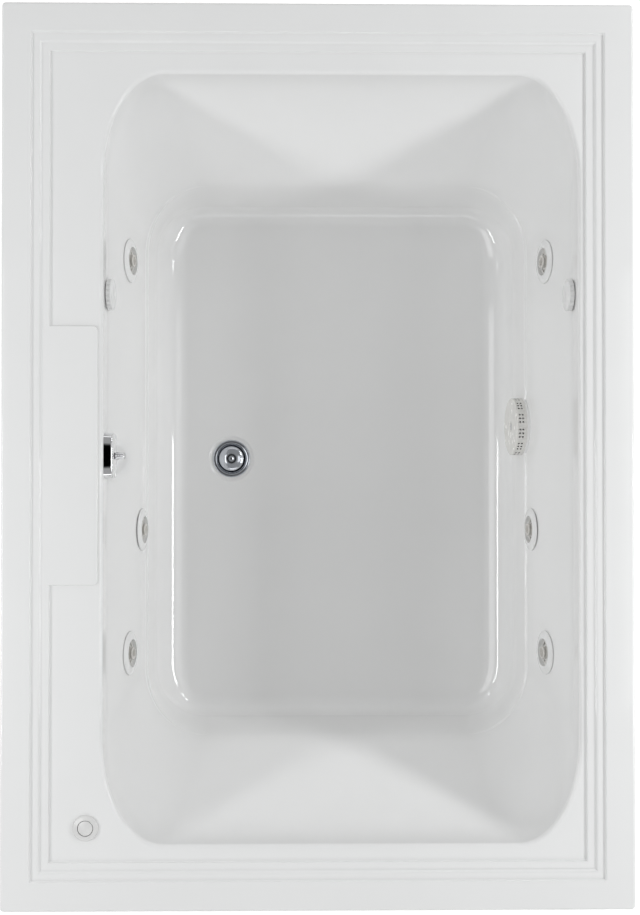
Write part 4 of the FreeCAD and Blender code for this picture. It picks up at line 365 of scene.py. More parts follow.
def fibreglass():
    """Chopped glass in resin on the back of the shell."""
    cream = (0.62, 0.58, 0.47)
    material, tree, principled = shader("fibreglass_back", cream, 0.42)
    strands = noise(tree, 130.0, 6.0, (1, 0.35, 1), 0.7)
    tint(tree, strands, principled, (0.44, 0.41, 0.31), (0.74, 0.71, 0.61))
    relief(tree, strands, principled, 0.0008)
    return material


def timber(name, stretch):
    """Sawn softwood with grain along one axis."""
    pale = (0.62, 0.44, 0.27)
    material, tree, principled = shader(name, pale, 0.6)
    grain = noise(tree, 26.0, 8.0, stretch, 0.65)
    tint(tree, grain, principled, (0.42, 0.26, 0.14), (0.70, 0.52, 0.33), 0.3, 0.7)
    relief(tree, grain, principled, 0.0003)
    return material


def plywood():
    """Birch plywood: veneer on the faces, plies on the edges."""
    pale = (0.66, 0.50, 0.33)
    material, tree, principled = shader("plywood_birch", pale, 0.55)
    face = noise(tree, 14.0, 6.0, (6, 0.7, 6), 0.6)
    where = tree.nodes.new("ShaderNodeTexCoord")
    plies = tree.nodes.new("ShaderNodeTexWave")
    plies.bands_direction = "Z"
    plies.inputs["Scale"].default_value = 55.0
    plies.inputs["Distortion"].default_value = 0.6
    tree.links.new(where.outputs["Object"], plies.inputs["Vector"])
    geometry = tree.nodes.new("ShaderNodeNewGeometry")
    split = tree.nodes.new("ShaderNodeSeparateXYZ")
    tree.links.new(geometry.outputs["True Normal"], split.inputs["Vector"])
    upright = tree.nodes.new("ShaderNodeMath")
    upright.operation = "ABSOLUTE"
    tree.links.new(split.outputs["Z"], upright.inputs[0])
    mixed = tree.nodes.new("ShaderNodeMix")
    tree.links.new(upright.outputs["Value"], mixed.inputs["Factor"])
    tree.links.new(plies.outputs["Fac"], mixed.inputs["A"])
    tree.links.new(face, mixed.inputs["B"])
    tint(tree, mixed.outputs["Result"], principled, (0.45, 0.30, 0.17), (0.72, 0.57, 0.39), 0.25, 0.75)
    relief(tree, face, principled, 0.0001)
    return material


def clear_vinyl():
    """Clear flexible hose, slightly yellow."""
    tinted = (0.90, 0.91, 0.86)
    material, tree, principled = shader("vinyl_clear", tinted, 0.18, Transmission_Weight=0.75, IOR=1.45)
    factor = noise(tree, 40.0)
    tint(tree, factor, principled, scaled(tinted, 0.97), tinted)
    worn(tree, factor, principled, 0.14, 0.24)
    return material


ACRYLIC = acrylic()
BACKING = fibreglass()
LOOKS = {
    "timber_long": timber("timber_long", (5, 0.5, 5)),
    "timber_cross": timber("timber_cross", (0.5, 5, 5)),
    "plywood": plywood(),
    "pad": plastic("rubber_pad", (0.05, 0.05, 0.052), 0.6, 120.0),
    "white": plastic("trim_white", (0.82, 0.82, 0.815), 0.16, 50.0),
    "switch_white": plastic("switch_white", (0.75, 0.745, 0.735), 0.16, 50.0),
    # black rubber of the gaskets; the same black on the ring under the jet flanges is painted shadow
    "seal": plastic("rubber_seal", (0.03, 0.03, 0.03), 0.55, 120.0),
    # grey of the jet insert and the darker grey of the nozzle deeper in: partly their own grey, partly
    # painted shade of the recess
    "jet_grey": plastic("jet_insert_grey_and_shade", (0.72, 0.71, 0.685), 0.24, 70.0),
    "nozzle_grey": plastic("jet_nozzle_grey_and_shade", (0.64, 0.62, 0.585), 0.22, 70.0),
    "pipe": plastic("pvc_pipe", (0.78, 0.78, 0.76), 0.32, 30.0, spread=0.02),
    "cover_grey": plastic("cover_grey", (0.77, 0.76, 0.73), 0.26, 70.0),
    # near black: painted shade inside the suction cover and its holes
    "painted_inside_shade": plastic("cover_inside_painted_shade", (0.012, 0.012, 0.012), 0.7, 120.0),
    # one chrome in two brightnesses: lighter here, painting the bright reflection on the overflow plate,
    # screws and lever
    "chrome": metal("chrome", (0.86, 0.86, 0.87), 0.05, 30.0, height=0.000002),
    # darker, bluer copy of that chrome on the drain: painted darker reflection
    "drain_chrome_shaded": metal("drain_chrome_shaded", (0.56, 0.58, 0.62), 0.13, 30.0, height=0.000002),
    "brass": metal("brass", (0.75, 0.58, 0.30), 0.24),
    "steel": metal("steel", (0.60, 0.60, 0.61), 0.28),
    "hose": clear_vinyl(),
    "pump_black": plastic("pump_black", (0.028, 0.028, 0.03), 0.38, 220.0, 0.00015),
    "impeller": plastic("impeller_cream", (0.66, 0.60, 0.48), 0.35),
    "motor": plastic("motor_paint", (0.055, 0.065, 0.085), 0.42, 260.0, 0.0001),
}


# first words of the nodes' names; all other nodes are white pipe
NODE_LOOKS = {
    "timber_long": ("rim_rails",),
    "timber_cross": ("base_bearers",),
    "plywood": ("base_board",),
    "pad": ("foot_pads",),
    "white": ("jet_wall", "air_control_bodies", "air_control_knob", "switch_bezel", "switch_button"),
    "hose": ("air_hoses", "switch_tube"),
    "seal": ("jet_gaskets", "drain_gasket", "overflow_gasket"),
    "jet_grey": ("jet_ring",),
    "nozzle_grey": ("jet_nozzle",),
    "cover_grey": ("suction_cover",),
    "steel": ("suction_screw", "switch_spring", "motor_shaft"),
    "brass": ("rocker_arm", "lift_rod"),
    "chrome": ("overflow_plate", "overflow_screws", "trip_lever"),
    "drain_chrome_shaded": ("drain_flange", "drain_stopper"),
    "impeller": ("pump_impeller",),
    "motor": ("motor_housing", "motor_end_cover", "motor_foot"),
    "pump_black": ("pump_volute", "pump_seal_plate", "motor_fan", "control_box"),
}


def look_of(name):
    """Which material a CAD node takes."""
    for look, starts in NODE_LOOKS.items():
        if name.startswith(starts):
            return LOOKS[look]
    return LOOKS["pipe"]


def dress_nodes():
    """Procedural materials on every CAD node."""
    for name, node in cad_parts.items():
        node.data.materials.clear()
        node.data.materials.append(look_of(name))


# ================================================================ mesh tools
def ring_verts(bm, points):
    """One loop of vertices."""
    return [bm.verts.new(point) for point in points]


def strip(bm, first, second, material=0):
    """Quads between two loops of the same length."""
    count = len(first)
    for here in range(count):
        after = (here + 1) % count
        face = bm.faces.new((first[here], first[after], second[after], second[here]))
        face.material_index = material


def skin(bm, loops, material=0):
    """Quads over a row of loops; gives the vertex loops back."""
    rows = [ring_verts(bm, points) for points in loops]
    for first, second in zip(rows, rows[1:]):
        strip(bm, first, second, material)
    return rows


def loop_edges(bm, loop):
    """Edges of a closed loop of vertices, made where they are missing; vertices on one spot count once."""
    pairs = zip(loop, loop[-1:] + loop[:-1])
    loop = [here for here, before in pairs if (here.co - before.co).length > SAME_SPOT]
    edges = []
    for here, after in zip(loop, loop[1:] + loop[:1]):
        edge = bm.edges.get((here, after))
        edges.append(edge or bm.edges.new((here, after)))
    return edges


def fill(bm, loops, material=0):
    """Flat face between an outer loop and the loops of its holes."""
    edges = [edge for loop in loops for edge in loop_edges(bm, loop)]
    made = bmesh.ops.triangle_fill(bm, use_beauty=True, use_dissolve=False, edges=edges)
    for item in made["geom"]:
        if isinstance(item, bmesh.types.BMFace):
            item.material_index = material


def circle(centre, radius, z, count=ROUND_POINTS):
    """Points of a level circle."""
    turns = [2 * math.pi * index / count for index in range(count)]
    return [Vector((centre[0] + radius * math.cos(turn), centre[1] + radius * math.sin(turn), z))
            for turn in turns]


def arc_points(centre, radius, start, end, steps=ARC_STEPS):
    """Points of an arc in a profile, degrees, both ends included."""
    turns = [math.radians(start + (end - start) * index / steps) for index in range(steps + 1)]
    return [(centre[0] + radius * math.cos(turn), centre[1] + radius * math.sin(turn)) for turn in turns]


def tip(bm, loop, point, material=0):
    """Triangles from a loop to one point."""
    top = bm.verts.new(point)
    for here, after in zip(loop, loop[1:] + loop[:1]):
        bm.faces.new((here, after, top)).material_index = material


def softened(corners):
    """Profile through (radius, height, rounding) corners; a curve starts its rounding before the corner."""
    spots = [Vector((radius, height)) for radius, height, _ in corners]
    points = []
    for index, (_, _, rounding) in enumerate(corners):
        here = spots[index]
        if rounding == 0:
            points.append(here)
            continue
        before = here + (spots[index - 1] - here).normalized() * rounding
        after = here + (spots[index + 1] - here).normalized() * rounding
        for step in range(SOFT_STEPS + 1):
            t = step / SOFT_STEPS
            points.append(before * (1 - t) ** 2 + here * 2 * t * (1 - t) + after * t * t)
    return points


def turned(bm, place, profile, material=0):
    """Surface turned about a place's Z from (radius, height) points; a last radius of zero closes it."""
    closed = profile[-1][0] == 0
    rings = profile[:-1] if closed else profile
    loops = [[place @ point for point in circle((0, 0), radius, z)] for radius, z in rings]
    rows = skin(bm, loops, material)
    if closed:
        tip(bm, rows[-1], place @ Vector((0, 0, profile[-1][1])), material)
    return rows


def finish_mesh(bm, name, materials, body, slot, *nodes):
    """Object from a bmesh: smooth faces, sharp folds, even normals, on its body."""
    bmesh.ops.remove_doubles(bm, verts=bm.verts, dist=SAME_SPOT)
    bmesh.ops.dissolve_degenerate(bm, dist=SAME_SPOT / 2, edges=bm.edges)
    bmesh.ops.recalc_face_normals(bm, faces=bm.faces)
    for face in bm.faces:
        face.smooth = True
    for edge in bm.edges:
        edge.smooth = len(edge.link_faces) == 2 and edge.calc_face_angle() < SHARP_FOLD
    mesh = bpy.data.meshes.new(name)
    bm.to_mesh(mesh)
    bm.free()
    for material in materials:
        mesh.materials.append(material)
    piece = bpy.data.objects.new(name, mesh)
    bpy.context.scene.collection.objects.link(piece)
    even = piece.modifiers.new("even_normals", "WEIGHTED_NORMAL")
    even.keep_sharp = True
    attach(piece, body)
    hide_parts(*nodes)
    return piece


# ================================================================ basin form
def lean(depth, bends):
    """How far a wall stands inside the rim opening at a depth below the rim top."""
    total = 0.0
    for start, slope, soft in bends:
        total += slope * soft * math.log1p(math.exp((depth - start) / soft))
        total -= slope * soft * math.log1p(math.exp((DECK_DEPTH - start) / soft))
    return total


def lean_slope(depth, bends):
    """Slope of the wall at a depth: inward per downward."""
    return sum(slope / (1 + math.exp((start - depth) / soft)) for start, slope, soft in bends)


def corner_points(start, corner, end, count):
    """Points of an elliptical corner, the last one left out."""
    first = start + (corner - start) * CIRCLE_PULL
    last = end + (corner - end) * CIRCLE_PULL
    points = []
    for index in range(count):
        t = index / count
        s = 1 - t
        points.append(start * s ** 3 + first * 3 * s * s * t + last * 3 * s * t * t + end * t ** 3)
    return points


def ledge(depth):
    """Small shelf along both side walls, where the wall stands a little further in."""
    return LEDGE_WIDTH / (1 + math.exp((LEDGE_DEPTH - depth) / LEDGE_SOFT))


def corner_reach(law, part):
    """Reach of a corner curve at a part of the depth between deck and floor."""
    return law[0] + law[1] * part + law[2] * part * part


def outline(depth, grow):
    """Closed outline of the basin at one depth, counter-clockwise."""
    part = (depth - DECK_DEPTH) / (FLOOR_DEPTH - DECK_DEPTH)
    half_x = HALF_X - lean(depth, SIDE_BENDS) - ledge(depth) + grow
    half_y = HALF_Y - lean(depth, END_BENDS) + grow
    corner_x = corner_reach(CORNER_X_LAW, part) + grow
    corner_y = corner_reach(CORNER_Y_LAW, part) + grow
    turns = []
    for sx, sy in ((1, 1), (-1, 1), (-1, -1), (1, -1)):
        on_side = Vector((BASIN_X + sx * half_x, BASIN_Y + sy * (half_y - corner_y)))
        on_end = Vector((BASIN_X + sx * (half_x - corner_x), BASIN_Y + sy * half_y))
        corner = Vector((BASIN_X + sx * half_x, BASIN_Y + sy * half_y))
        first, last = (on_side, on_end) if sx * sy > 0 else (on_end, on_side)
        turns.append((first, corner, last))
    points = []
    for index, (first, corner, last) in enumerate(turns):
        points += corner_points(first, corner, last, CORNER_POINTS)
        after = turns[(index + 1) % 4][0]
        count = END_POINTS if index % 2 == 0 else LONG_POINTS
        points += [last.lerp(after, step / count) for step in range(count)]
    return points


def outward(points):
    """Unit normals of a counter-clockwise outline."""
    normals = []
    count = len(points)
    for index in range(count):
        along = points[(index + 1) % count] - points[index - 1]
        normals.append(Vector((along.y, -along.x)).normalized())
    return normals


def level(points, z):
    """Outline points at one height."""
    return [Vector((point.x, point.y, z)) for point in points]


def rim_loops():
    """From the deck over the rounded rim to the top of the wall."""
    loops = []
    for step in range(RIM_STEPS + 1):
        turn = math.radians(90 * step / RIM_STEPS)
        grow = RIM_ROUND * (1 - math.sin(turn))
        depth = DECK_DEPTH + RIM_ROUND * (1 - math.cos(turn))
        loops.append(level(outline(depth, grow), HEIGHT - depth))
    return loops


def wall_loops(top, grow, spacing):
    """Wall from a depth down to the start of the floor fillet, with more levels over the ledge."""
    bottom = FLOOR_DEPTH - SIDE_ROUND
    count = round((bottom - top) / spacing)
    depths = [top + (bottom - top) * index / count for index in range(1, count + 1)]
    fine = [LEDGE_DEPTH + LEDGE_SOFT * step for step in range(-LEDGE_LEVELS, LEDGE_LEVELS + 1)]
    depths = [depth for depth in depths if not fine[0] - LEDGE_SOFT < depth < fine[-1] + LEDGE_SOFT]
    return [level(outline(depth, grow), HEIGHT - depth) for depth in sorted(depths + fine)]


def fillet_point(low, high, normal, grow, part, floor_z):
    """Point of the floor fillet, a part of the way from the wall to the floor.

    Low and high are points of the unrounded wall at the floor and a little above it.
    """
    radius = grow + END_ROUND + (SIDE_ROUND - END_ROUND) * normal.x ** 2
    slope = -normal.dot(low - high) / SLOPE_PROBE
    start = math.pi + math.atan(slope)
    turn = start + (1.5 * math.pi - start) * part
    middle = radius * (math.sqrt(1 + slope * slope) - slope)
    z = radius + radius * math.sin(turn)
    inward = middle + radius * math.cos(turn) + slope * z
    edge = low + (high - low) * (z / SLOPE_PROBE) - normal * inward
    return Vector((edge.x, edge.y, floor_z + z))


def floor_loops(grow, steps):
    """Fillet between the leaning wall and the flat floor, larger along the sides than at the ends."""
    floor_depth = FLOOR_DEPTH + grow
    foot = outline(floor_depth, grow)
    above = outline(floor_depth - SLOPE_PROBE, grow)
    spots = list(zip(foot, above, outward(foot)))
    return [[fillet_point(low, high, normal, grow, step / steps, HEIGHT - floor_depth)
             for low, high, normal in spots] for step in range(1, steps + 1)]


# ================================================================ places of the fittings
def tilted_place(side, spot, slope):
    """Frame at a point of a side wall: Z into the basin, Y up the wall."""
    into = Vector((-side, 0, slope)).normalized()
    up = Vector((side * slope, 0, 1)).normalized()
    along = up.cross(into)
    return Matrix.Translation(spot) @ Matrix((along, up, into)).transposed().to_4x4()


def wall_place(side, y, depth):
    """Frame on the inside of a side wall."""
    slope = lean_slope(depth, SIDE_BENDS)
    spot = Vector((BASIN_X + side * (HALF_X - lean(depth, SIDE_BENDS)), y, HEIGHT - depth))
    return tilted_place(side, spot, slope)


def overflow_place():
    """Upright frame of the overflow plate on the left wall."""
    spot = Vector((BASIN_X - HALF_X + lean(FITTING_DEPTH, SIDE_BENDS), 0.0, HEIGHT - FITTING_DEPTH))
    return tilted_place(-1, spot, 0.0)


def switch_place():
    """Frame of the air switch on the deck."""
    return Matrix.Translation((SWITCH_X, SWITCH_Y, DECK_Z))


def suction_place():
    """Frame of the suction fitting on the right wall, below the ledge."""
    inset = lean(SUCTION_DEPTH, SIDE_BENDS) + ledge(SUCTION_DEPTH)
    spot = Vector((BASIN_X + HALF_X - inset, SUCTION_Y, HEIGHT - SUCTION_DEPTH))
    return tilted_place(1, spot, SUCTION_SLOPE)


JETS = [wall_place(side, y, depth) for side in SIDES for y, depth in JET_SPOTS]
AIR_CONTROLS = [wall_place(side, AIR_Y, FITTING_DEPTH) for side in SIDES]


# ================================================================ shell
def frame_corner(sx, sy, start, inward, z):
    """Rounded corner of a rim loop, a quarter turn from a start in degrees."""
    rounding = max(OUTER_CORNER - inward, 0.0)
    centre = (sx * (WIDTH / 2 - inward - rounding), sy * (LENGTH / 2 - inward - rounding))
    arc = arc_points(centre, rounding, start, start + 90, OUTER_ARC_STEPS)
    return [Vector((x, y, z)) for x, y in arc]


def panel_detour(left, grow):
    """Way round the faucet panel from the left side of a rim loop and back to it, head end first."""
    reach = PANEL_HALF_LENGTH - PANEL_EDGE + grow
    right = PANEL_RIGHT - PANEL_EDGE + grow
    corner = PANEL_CORNER - PANEL_EDGE + grow
    head = arc_points((right - corner, reach - corner), corner, 90, 0)
    foot = arc_points((right - corner, corner - reach), corner, 0, -90)
    return [(left, reach)] + head + foot + [(left, -reach)]


def frame_loop(inward, z, panel=None):
    """Loop of the rim, counter-clockwise; with (grow, Z) its left side runs round the faucet panel."""
    points = []
    for sx, sy, start in ((1, -1, -90), (1, 1, 0), (-1, 1, 90)):
        points += frame_corner(sx, sy, start, inward, z)
    left = inward - WIDTH / 2
    grow, panel_z = panel or (0.0, z)
    detour = panel_detour(left, grow)
    reach = detour[0][1]
    last = len(detour) - 1
    for index, (x, y) in enumerate(detour):
        if panel is None:
            points.append(Vector((left, reach - 2 * reach * index / last, z)))
        else:
            points.append(Vector((x, y, max(z, panel_z) if index in (0, last) else panel_z)))
    return points + frame_corner(-1, -1, 180, inward, z)


def riser(step):
    """One S-shaped step down: a convex edge, then a concave foot of the same radius."""
    run = STEP_RUNS[step]
    middle = FRAME_WIDTH + step * STEP_PITCH
    top = HEIGHT - step * STEP_DROP
    radius = (run * run + STEP_DROP * STEP_DROP) / (4 * STEP_DROP)
    turn = 2 * math.degrees(math.atan(STEP_DROP / run))
    convex = arc_points((middle - run / 2, top - radius), radius, 90, 90 - turn)
    concave = arc_points((middle + run / 2, top - STEP_DROP + radius), radius, 270 - turn, 270)
    return convex + concave[1:]


def panel_side():
    """Side of the faucet panel: rounded top edge, upright face, small fillet at the foot."""
    top = DECK_Z + STEP_DROP
    convex = arc_points((0.0, top - PANEL_EDGE), PANEL_EDGE, 90, 0)
    foot = (PANEL_EDGE + PANEL_FOOT, DECK_Z + PANEL_FOOT)
    concave = arc_points(foot, PANEL_FOOT, 180, 270, ARC_STEPS - 1)
    return convex + concave


def rim_profile():
    """Outer lip and upper treads: (distance in from the outer edge, height) down to the second tread."""
    points = [(0.0, HEIGHT - LIP_DEPTH), (0.0, HEIGHT - LIP_DEPTH / 2)]
    points += arc_points((LIP_ROUND, HEIGHT - LIP_ROUND), LIP_ROUND, 180, 90)
    for step in range(STEP_COUNT - 1):
        points += riser(step)
    return points


def under_profile():
    """Underside of the rim from the lip's foot to the deck."""
    points = [(SKIN, HEIGHT - LIP_DEPTH), (SKIN, HEIGHT - SKIN)]
    z = HEIGHT - SKIN
    for step in range(STEP_COUNT):
        edge_in = FRAME_WIDTH + step * STEP_PITCH - STEP_RUNS[step] / 2
        points += [(edge_in, z), (edge_in, z - STEP_DROP)]
        z -= STEP_DROP
    return points


def switch_hole(z):
    """Hole of the air switch in the deck."""
    return circle((SWITCH_X, SWITCH_Y), SWITCH_HOLE_R, z)


def top_side(bm):
    """Everything that is seen from above: rim, deck, panel, basin and floor."""
    last_step = riser(STEP_COUNT - 1)
    loops = [frame_loop(inward, z) for inward, z in rim_profile()]
    loops.append(frame_loop(*last_step[0]))
    for (inward, z), panel in zip(last_step, panel_side()):
        loops.append(frame_loop(inward, z, panel))
    rim_rows = skin(bm, loops)
    basin = rim_loops()
    basin += wall_loops(DECK_DEPTH + RIM_ROUND, 0.0, WALL_STEP)[:-1]
    basin += floor_loops(0.0, FLOOR_STEPS)
    basin_rows = skin(bm, basin)
    switch = ring_verts(bm, switch_hole(DECK_Z))
    fill(bm, [rim_rows[-1], basin_rows[0], switch])
    dish_rows = skin(bm, [circle((DRAIN_X, 0.0), radius, FLOOR_Z + z) for radius, z in DRAIN_DISH])
    fill(bm, [basin_rows[-1], dish_rows[0]])
    return rim_rows[0], switch, dish_rows[-1]


def under_side(bm):
    """Back of the shell, with the drain boss."""
    loops = [frame_loop(inward, z) for inward, z in under_profile()]
    rim_rows = skin(bm, loops, 1)
    top = DECK_DEPTH + SKIN
    back = [level(outline(top, SKIN), HEIGHT - top)]
    back += wall_loops(top, SKIN, BACK_STEP)[:-1]
    back += floor_loops(SKIN, FLOOR_BACK_STEPS)
    back_rows = skin(bm, back, 1)
    switch = ring_verts(bm, switch_hole(DECK_Z - SKIN))
    fill(bm, [rim_rows[-1], back_rows[0], switch], 1)
    boss_top = FLOOR_Z - SKIN
    boss_foot = boss_top - DRAIN_BOSS_DROP
    boss = ((DRAIN_BOSS_R, boss_top), (DRAIN_BOSS_R, boss_foot), (DRAIN_HOLE_R, boss_foot))
    boss_rows = skin(bm, [circle((DRAIN_X, 0.0), radius, z) for radius, z in boss], 1)
    fill(bm, [back_rows[-1], boss_rows[0]], 1)
    return rim_rows[0], switch, boss_rows[-1]


def drill(bm, place, radius):
    """Round hole through both sides of a wall, with its edge; dicts keep the order, so each run is alike."""
    inverse = place.inverted()
    inside = []
    for vertex in bm.verts:
        local = inverse @ vertex.co
        if abs(local.z) < DRILL_REACH and math.hypot(local.x, local.y) < radius * DRILL_SLACK:
            inside.append(vertex)
    cut = dict.fromkeys(face for vertex in inside for face in vertex.link_faces)
    border = dict.fromkeys(edge for face in cut for edge in face.edges
                           if any(other not in cut for other in edge.link_faces))
    bmesh.ops.delete(bm, geom=inside, context="VERTS")
    for vertex in dict.fromkeys(vertex for edge in border for vertex in edge.verts):
        local = inverse @ vertex.co
        stretch = radius / math.hypot(local.x, local.y)
        vertex.co = place @ Vector((local.x * stretch, local.y * stretch, local.z))
    made = bmesh.ops.bridge_loops(bm, edges=list(border))
    for face in made["faces"]:
        face.material_index = 1


def suction_pad(bm, place):
    """Flat boss on the wall that carries the suction fitting."""
    turned(bm, place, ((SUCTION_HOLE_R, 0.0), (SUCTION_PAD_R - SUCTION_PAD_EDGE, 0.0),
                       (SUCTION_PAD_R, -SUCTION_PAD_EDGE), (SUCTION_PAD_R, SUCTION_PAD_LOW),
                       (SUCTION_HOLE_R, SUCTION_PAD_LOW), (SUCTION_HOLE_R, 0.0)))


def tub_shell():
    """The acrylic moulding with its glass-fibre back."""
    bm = bmesh.new()
    lip, switch, drain = top_side(bm)
    lip_back, switch_back, drain_back = under_side(bm)
    for first, second in ((lip, lip_back), (switch, switch_back), (drain, drain_back)):
        strip(bm, first, second, 1)
    for place in JETS:
        drill(bm, place, JET_HOLE_R)
    for place in AIR_CONTROLS:
        drill(bm, place, AIR_HOLE_R)
    drill(bm, wall_place(-1, 0.0, FITTING_DEPTH), OVERFLOW_HOLE_R)
    drill(bm, suction_place(), SUCTION_PAD_R - SUCTION_PAD_LAP)
    suction_pad(bm, suction_place())
    return finish_mesh(bm, "shell", [ACRYLIC, BACKING], "tub", "shell_acrylic", "tub_shell")


# ================================================================ fittings
def jet_flanges():
    """White wall flanges of the jets, each on a thin black gasket ring that paints the shadow in the gap
    under its edge.
    """
    face = [(JET_SHADOW_GASKET_R, JET_SHADOW_GASKET_TOP, 0), (JET_FLANGE_R, JET_SHADOW_GASKET_TOP, 0),
            (JET_FLANGE_R, JET_EDGE_Z, 0.0008), (JET_BROW_R, JET_BROW_Z, 0.0025),
            (JET_CREST_R, JET_CREST_Z, 0.0016), (JET_BORE_R, JET_MOUTH_Z, 0.0007),
            (JET_BORE_R, JET_SHELF_Z, 0), (JET_THROAT_R, JET_SHELF_Z, 0),
            (JET_THROAT_R, JET_BARREL_FOOT, 0), (JET_BARREL_R, JET_BARREL_FOOT, 0),
            (JET_BARREL_R, WALL_SEAT, 0), (JET_SHADOW_GASKET_R, WALL_SEAT, 0)]
    seal = [(JET_SHADOW_GASKET_R, WALL_SEAT), (JET_SHADOW_GASKET_R, JET_SHADOW_GASKET_TOP)]
    bm = bmesh.new()
    for place in JETS:
        turned(bm, place, softened(face))
        # black ring under the flange's edge: a gasket that paints the shadow in the gap
        turned(bm, place, seal, 1)
    return finish_mesh(bm, "jet_flanges", [LOOKS["white"], LOOKS["seal"]], "tub", "trim_white",
                       "jet_wall_fittings")


def cover_spot(place, radius, column, row):
    """Point of the suction cover's wall, counted in cells of its grid."""
    turn = 2 * math.pi * column / COVER_COLUMNS
    height = COVER_FOOT + COVER_CELL * row
    return place @ Vector((radius * math.cos(turn), radius * math.sin(turn), height))


def cover_holes():
    """Middles of the holes in cells: groups of three columns and two rows."""
    pitch = COVER_COLUMNS // COVER_GROUPS
    middles = [pitch * group + pitch // 2 for group in range(COVER_GROUPS)]
    return [(middle + COVER_HOLE_PITCH * column, row)
            for middle in middles for column in (-1, 0, 1) for row in COVER_HOLE_ROWS]


def block_edge():
    """Grid steps round the block of cells that a hole is cut in."""
    half = COVER_HALF_BLOCK
    steps = range(-half, half)
    return ([(step, -half) for step in steps] + [(half, step) for step in steps]
            + [(-step, half) for step in steps] + [(-half, -step) for step in steps])


def cover_skin(bm, place, radius, material):
    """One skin of the perforated wall; gives its grid and the rims of its holes back."""
    grid = {}

    def corner(column, row):
        key = (column % COVER_COLUMNS, row)
        if key not in grid:
            grid[key] = bm.verts.new(cover_spot(place, radius, *key))
        return grid[key]

    half = COVER_HALF_BLOCK
    cut = set(((column + x) % COVER_COLUMNS, row + y) for column, row in cover_holes()
              for x in range(-half, half) for y in range(-half, half))
    for column in range(COVER_COLUMNS):
        for row in range(COVER_ROWS):
            if (column, row) not in cut:
                spots = ((column, row), (column + 1, row), (column + 1, row + 1), (column, row + 1))
                bm.faces.new([corner(*spot) for spot in spots]).material_index = material
    reach = COVER_HOLE_R / COVER_CELL
    circular = [(x * reach / math.hypot(x, y), y * reach / math.hypot(x, y)) for x, y in block_edge()]
    rims = []
    for column, row in cover_holes():
        border = [corner(column + x, row + y) for x, y in block_edge()]
        rim = ring_verts(bm, [cover_spot(place, radius, column + x, row + y) for x, y in circular])
        strip(bm, border, rim, material)
        rims.append(rim)
    return grid, rims


def suction_cover():
    """Drum with a plain face and groups of holes round its wall; its inside is near black, painted shade."""
    place = suction_place()
    bm = bmesh.new()
    outer, outer_rims = cover_skin(bm, place, COVER_R, 0)
    # inner skin, hole sides and inner top take the near-black material: painted shade
    inner, inner_rims = cover_skin(bm, place, COVER_R - COVER_WALL, 1)
    for first, second in zip(outer_rims, inner_rims):
        strip(bm, first, second, 1)
    wall_top = COVER_FOOT + COVER_CELL * COVER_ROWS
    loops = [[grid[(column, row)] for column in range(COVER_COLUMNS)]
             for grid, row in ((outer, 0), (inner, 0), (outer, COVER_ROWS), (inner, COVER_ROWS))]
    strip(bm, loops[0], loops[1], 0)
    tip(bm, loops[3], place @ Vector((0, 0, wall_top)), 1)
    face = softened([(COVER_R, wall_top, 0), (COVER_R, COVER_FACE_Z, COVER_EDGE),
                     (COVER_CROWN_R, COVER_CROWN_Z, 0.0006), (COVER_DIMPLE_R, COVER_DIMPLE_Z, 0)])[1:]
    rings = [[place @ point for point in circle((0, 0), radius, z, COVER_COLUMNS)] for radius, z in face]
    rows = skin(bm, rings)
    strip(bm, loops[2], rows[0])
    tip(bm, rows[-1], place @ Vector((0, 0, COVER_DIMPLE_Z)))
    return finish_mesh(bm, "suction_drum", [LOOKS["cover_grey"], LOOKS["painted_inside_shade"]], "tub", "cover_grey",
                       "suction_cover")


def suction_screw():
    """Head of the screw sunk in the middle of the suction cover."""
    bm = bmesh.new()
    turned(bm, suction_place(), softened([(COVER_SCREW_R, COVER_SCREW_ROOT, 0),
                                          (COVER_SCREW_R, COVER_SCREW_EDGE, 0.0006),
                                          (0.0, COVER_SCREW_TOP, 0)]))
    return finish_mesh(bm, "suction_screw_head", [LOOKS["steel"]], "tub", "steel", "suction_screw")


def plate_outline(half, z, place):
    """Rounded square of the overflow plate."""
    points = []
    power = 2 / PLATE_SQUARENESS
    for index in range(ROUND_POINTS):
        turn = 2 * math.pi * (index + 0.5) / ROUND_POINTS
        x = math.copysign(abs(math.cos(turn)) ** power, math.cos(turn))
        y = math.copysign(abs(math.sin(turn)) ** power, math.sin(turn))
        points.append(place @ Vector((half * x, half * y, z)))
    return points


def overflow_plate():
    """Chrome cup over the overflow, with a slot for the lever."""
    place = overflow_place()
    bm = bmesh.new()
    side = softened([(PLATE_HALF, PLATE_BACK, 0), (PLATE_FRONT, PLATE_PROUD, PLATE_EDGE),
                     (PLATE_FLAT, PLATE_PROUD, 0)])
    rows = skin(bm, [plate_outline(half, z, place) for half, z in side])
    slot = []
    for middle, start in ((SLOT_REACH - SLOT_HALF, 0), (SLOT_HALF - SLOT_REACH, 180)):
        slot += [place @ Vector((x, y, PLATE_PROUD))
                 for x, y in arc_points((0, middle), SLOT_HALF, start, start + 180, SLOT_STEPS)]
    mouth = ring_verts(bm, slot)
    fill(bm, [rows[-1], mouth])
    into = place.to_3x3() @ Vector((0, 0, -SLOT_DEPTH))
    strip(bm, mouth, ring_verts(bm, [point + into for point in slot]))
    return finish_mesh(bm, "overflow_cup", [LOOKS["chrome"]], "tub", "chrome", "overflow_plate")


def overflow_screws():
    """Two domed screw heads on the overflow plate."""
    place = overflow_place()
    bm = bmesh.new()
    for side in (-1, 1):
        spot = place @ Matrix.Translation((0, side * PLATE_SCREW_Y, PLATE_PROUD))
        turned(bm, spot, softened(PLATE_SCREW))
    return finish_mesh(bm, "overflow_screw_heads", [LOOKS["chrome"]], "tub", "chrome", "overflow_screws")


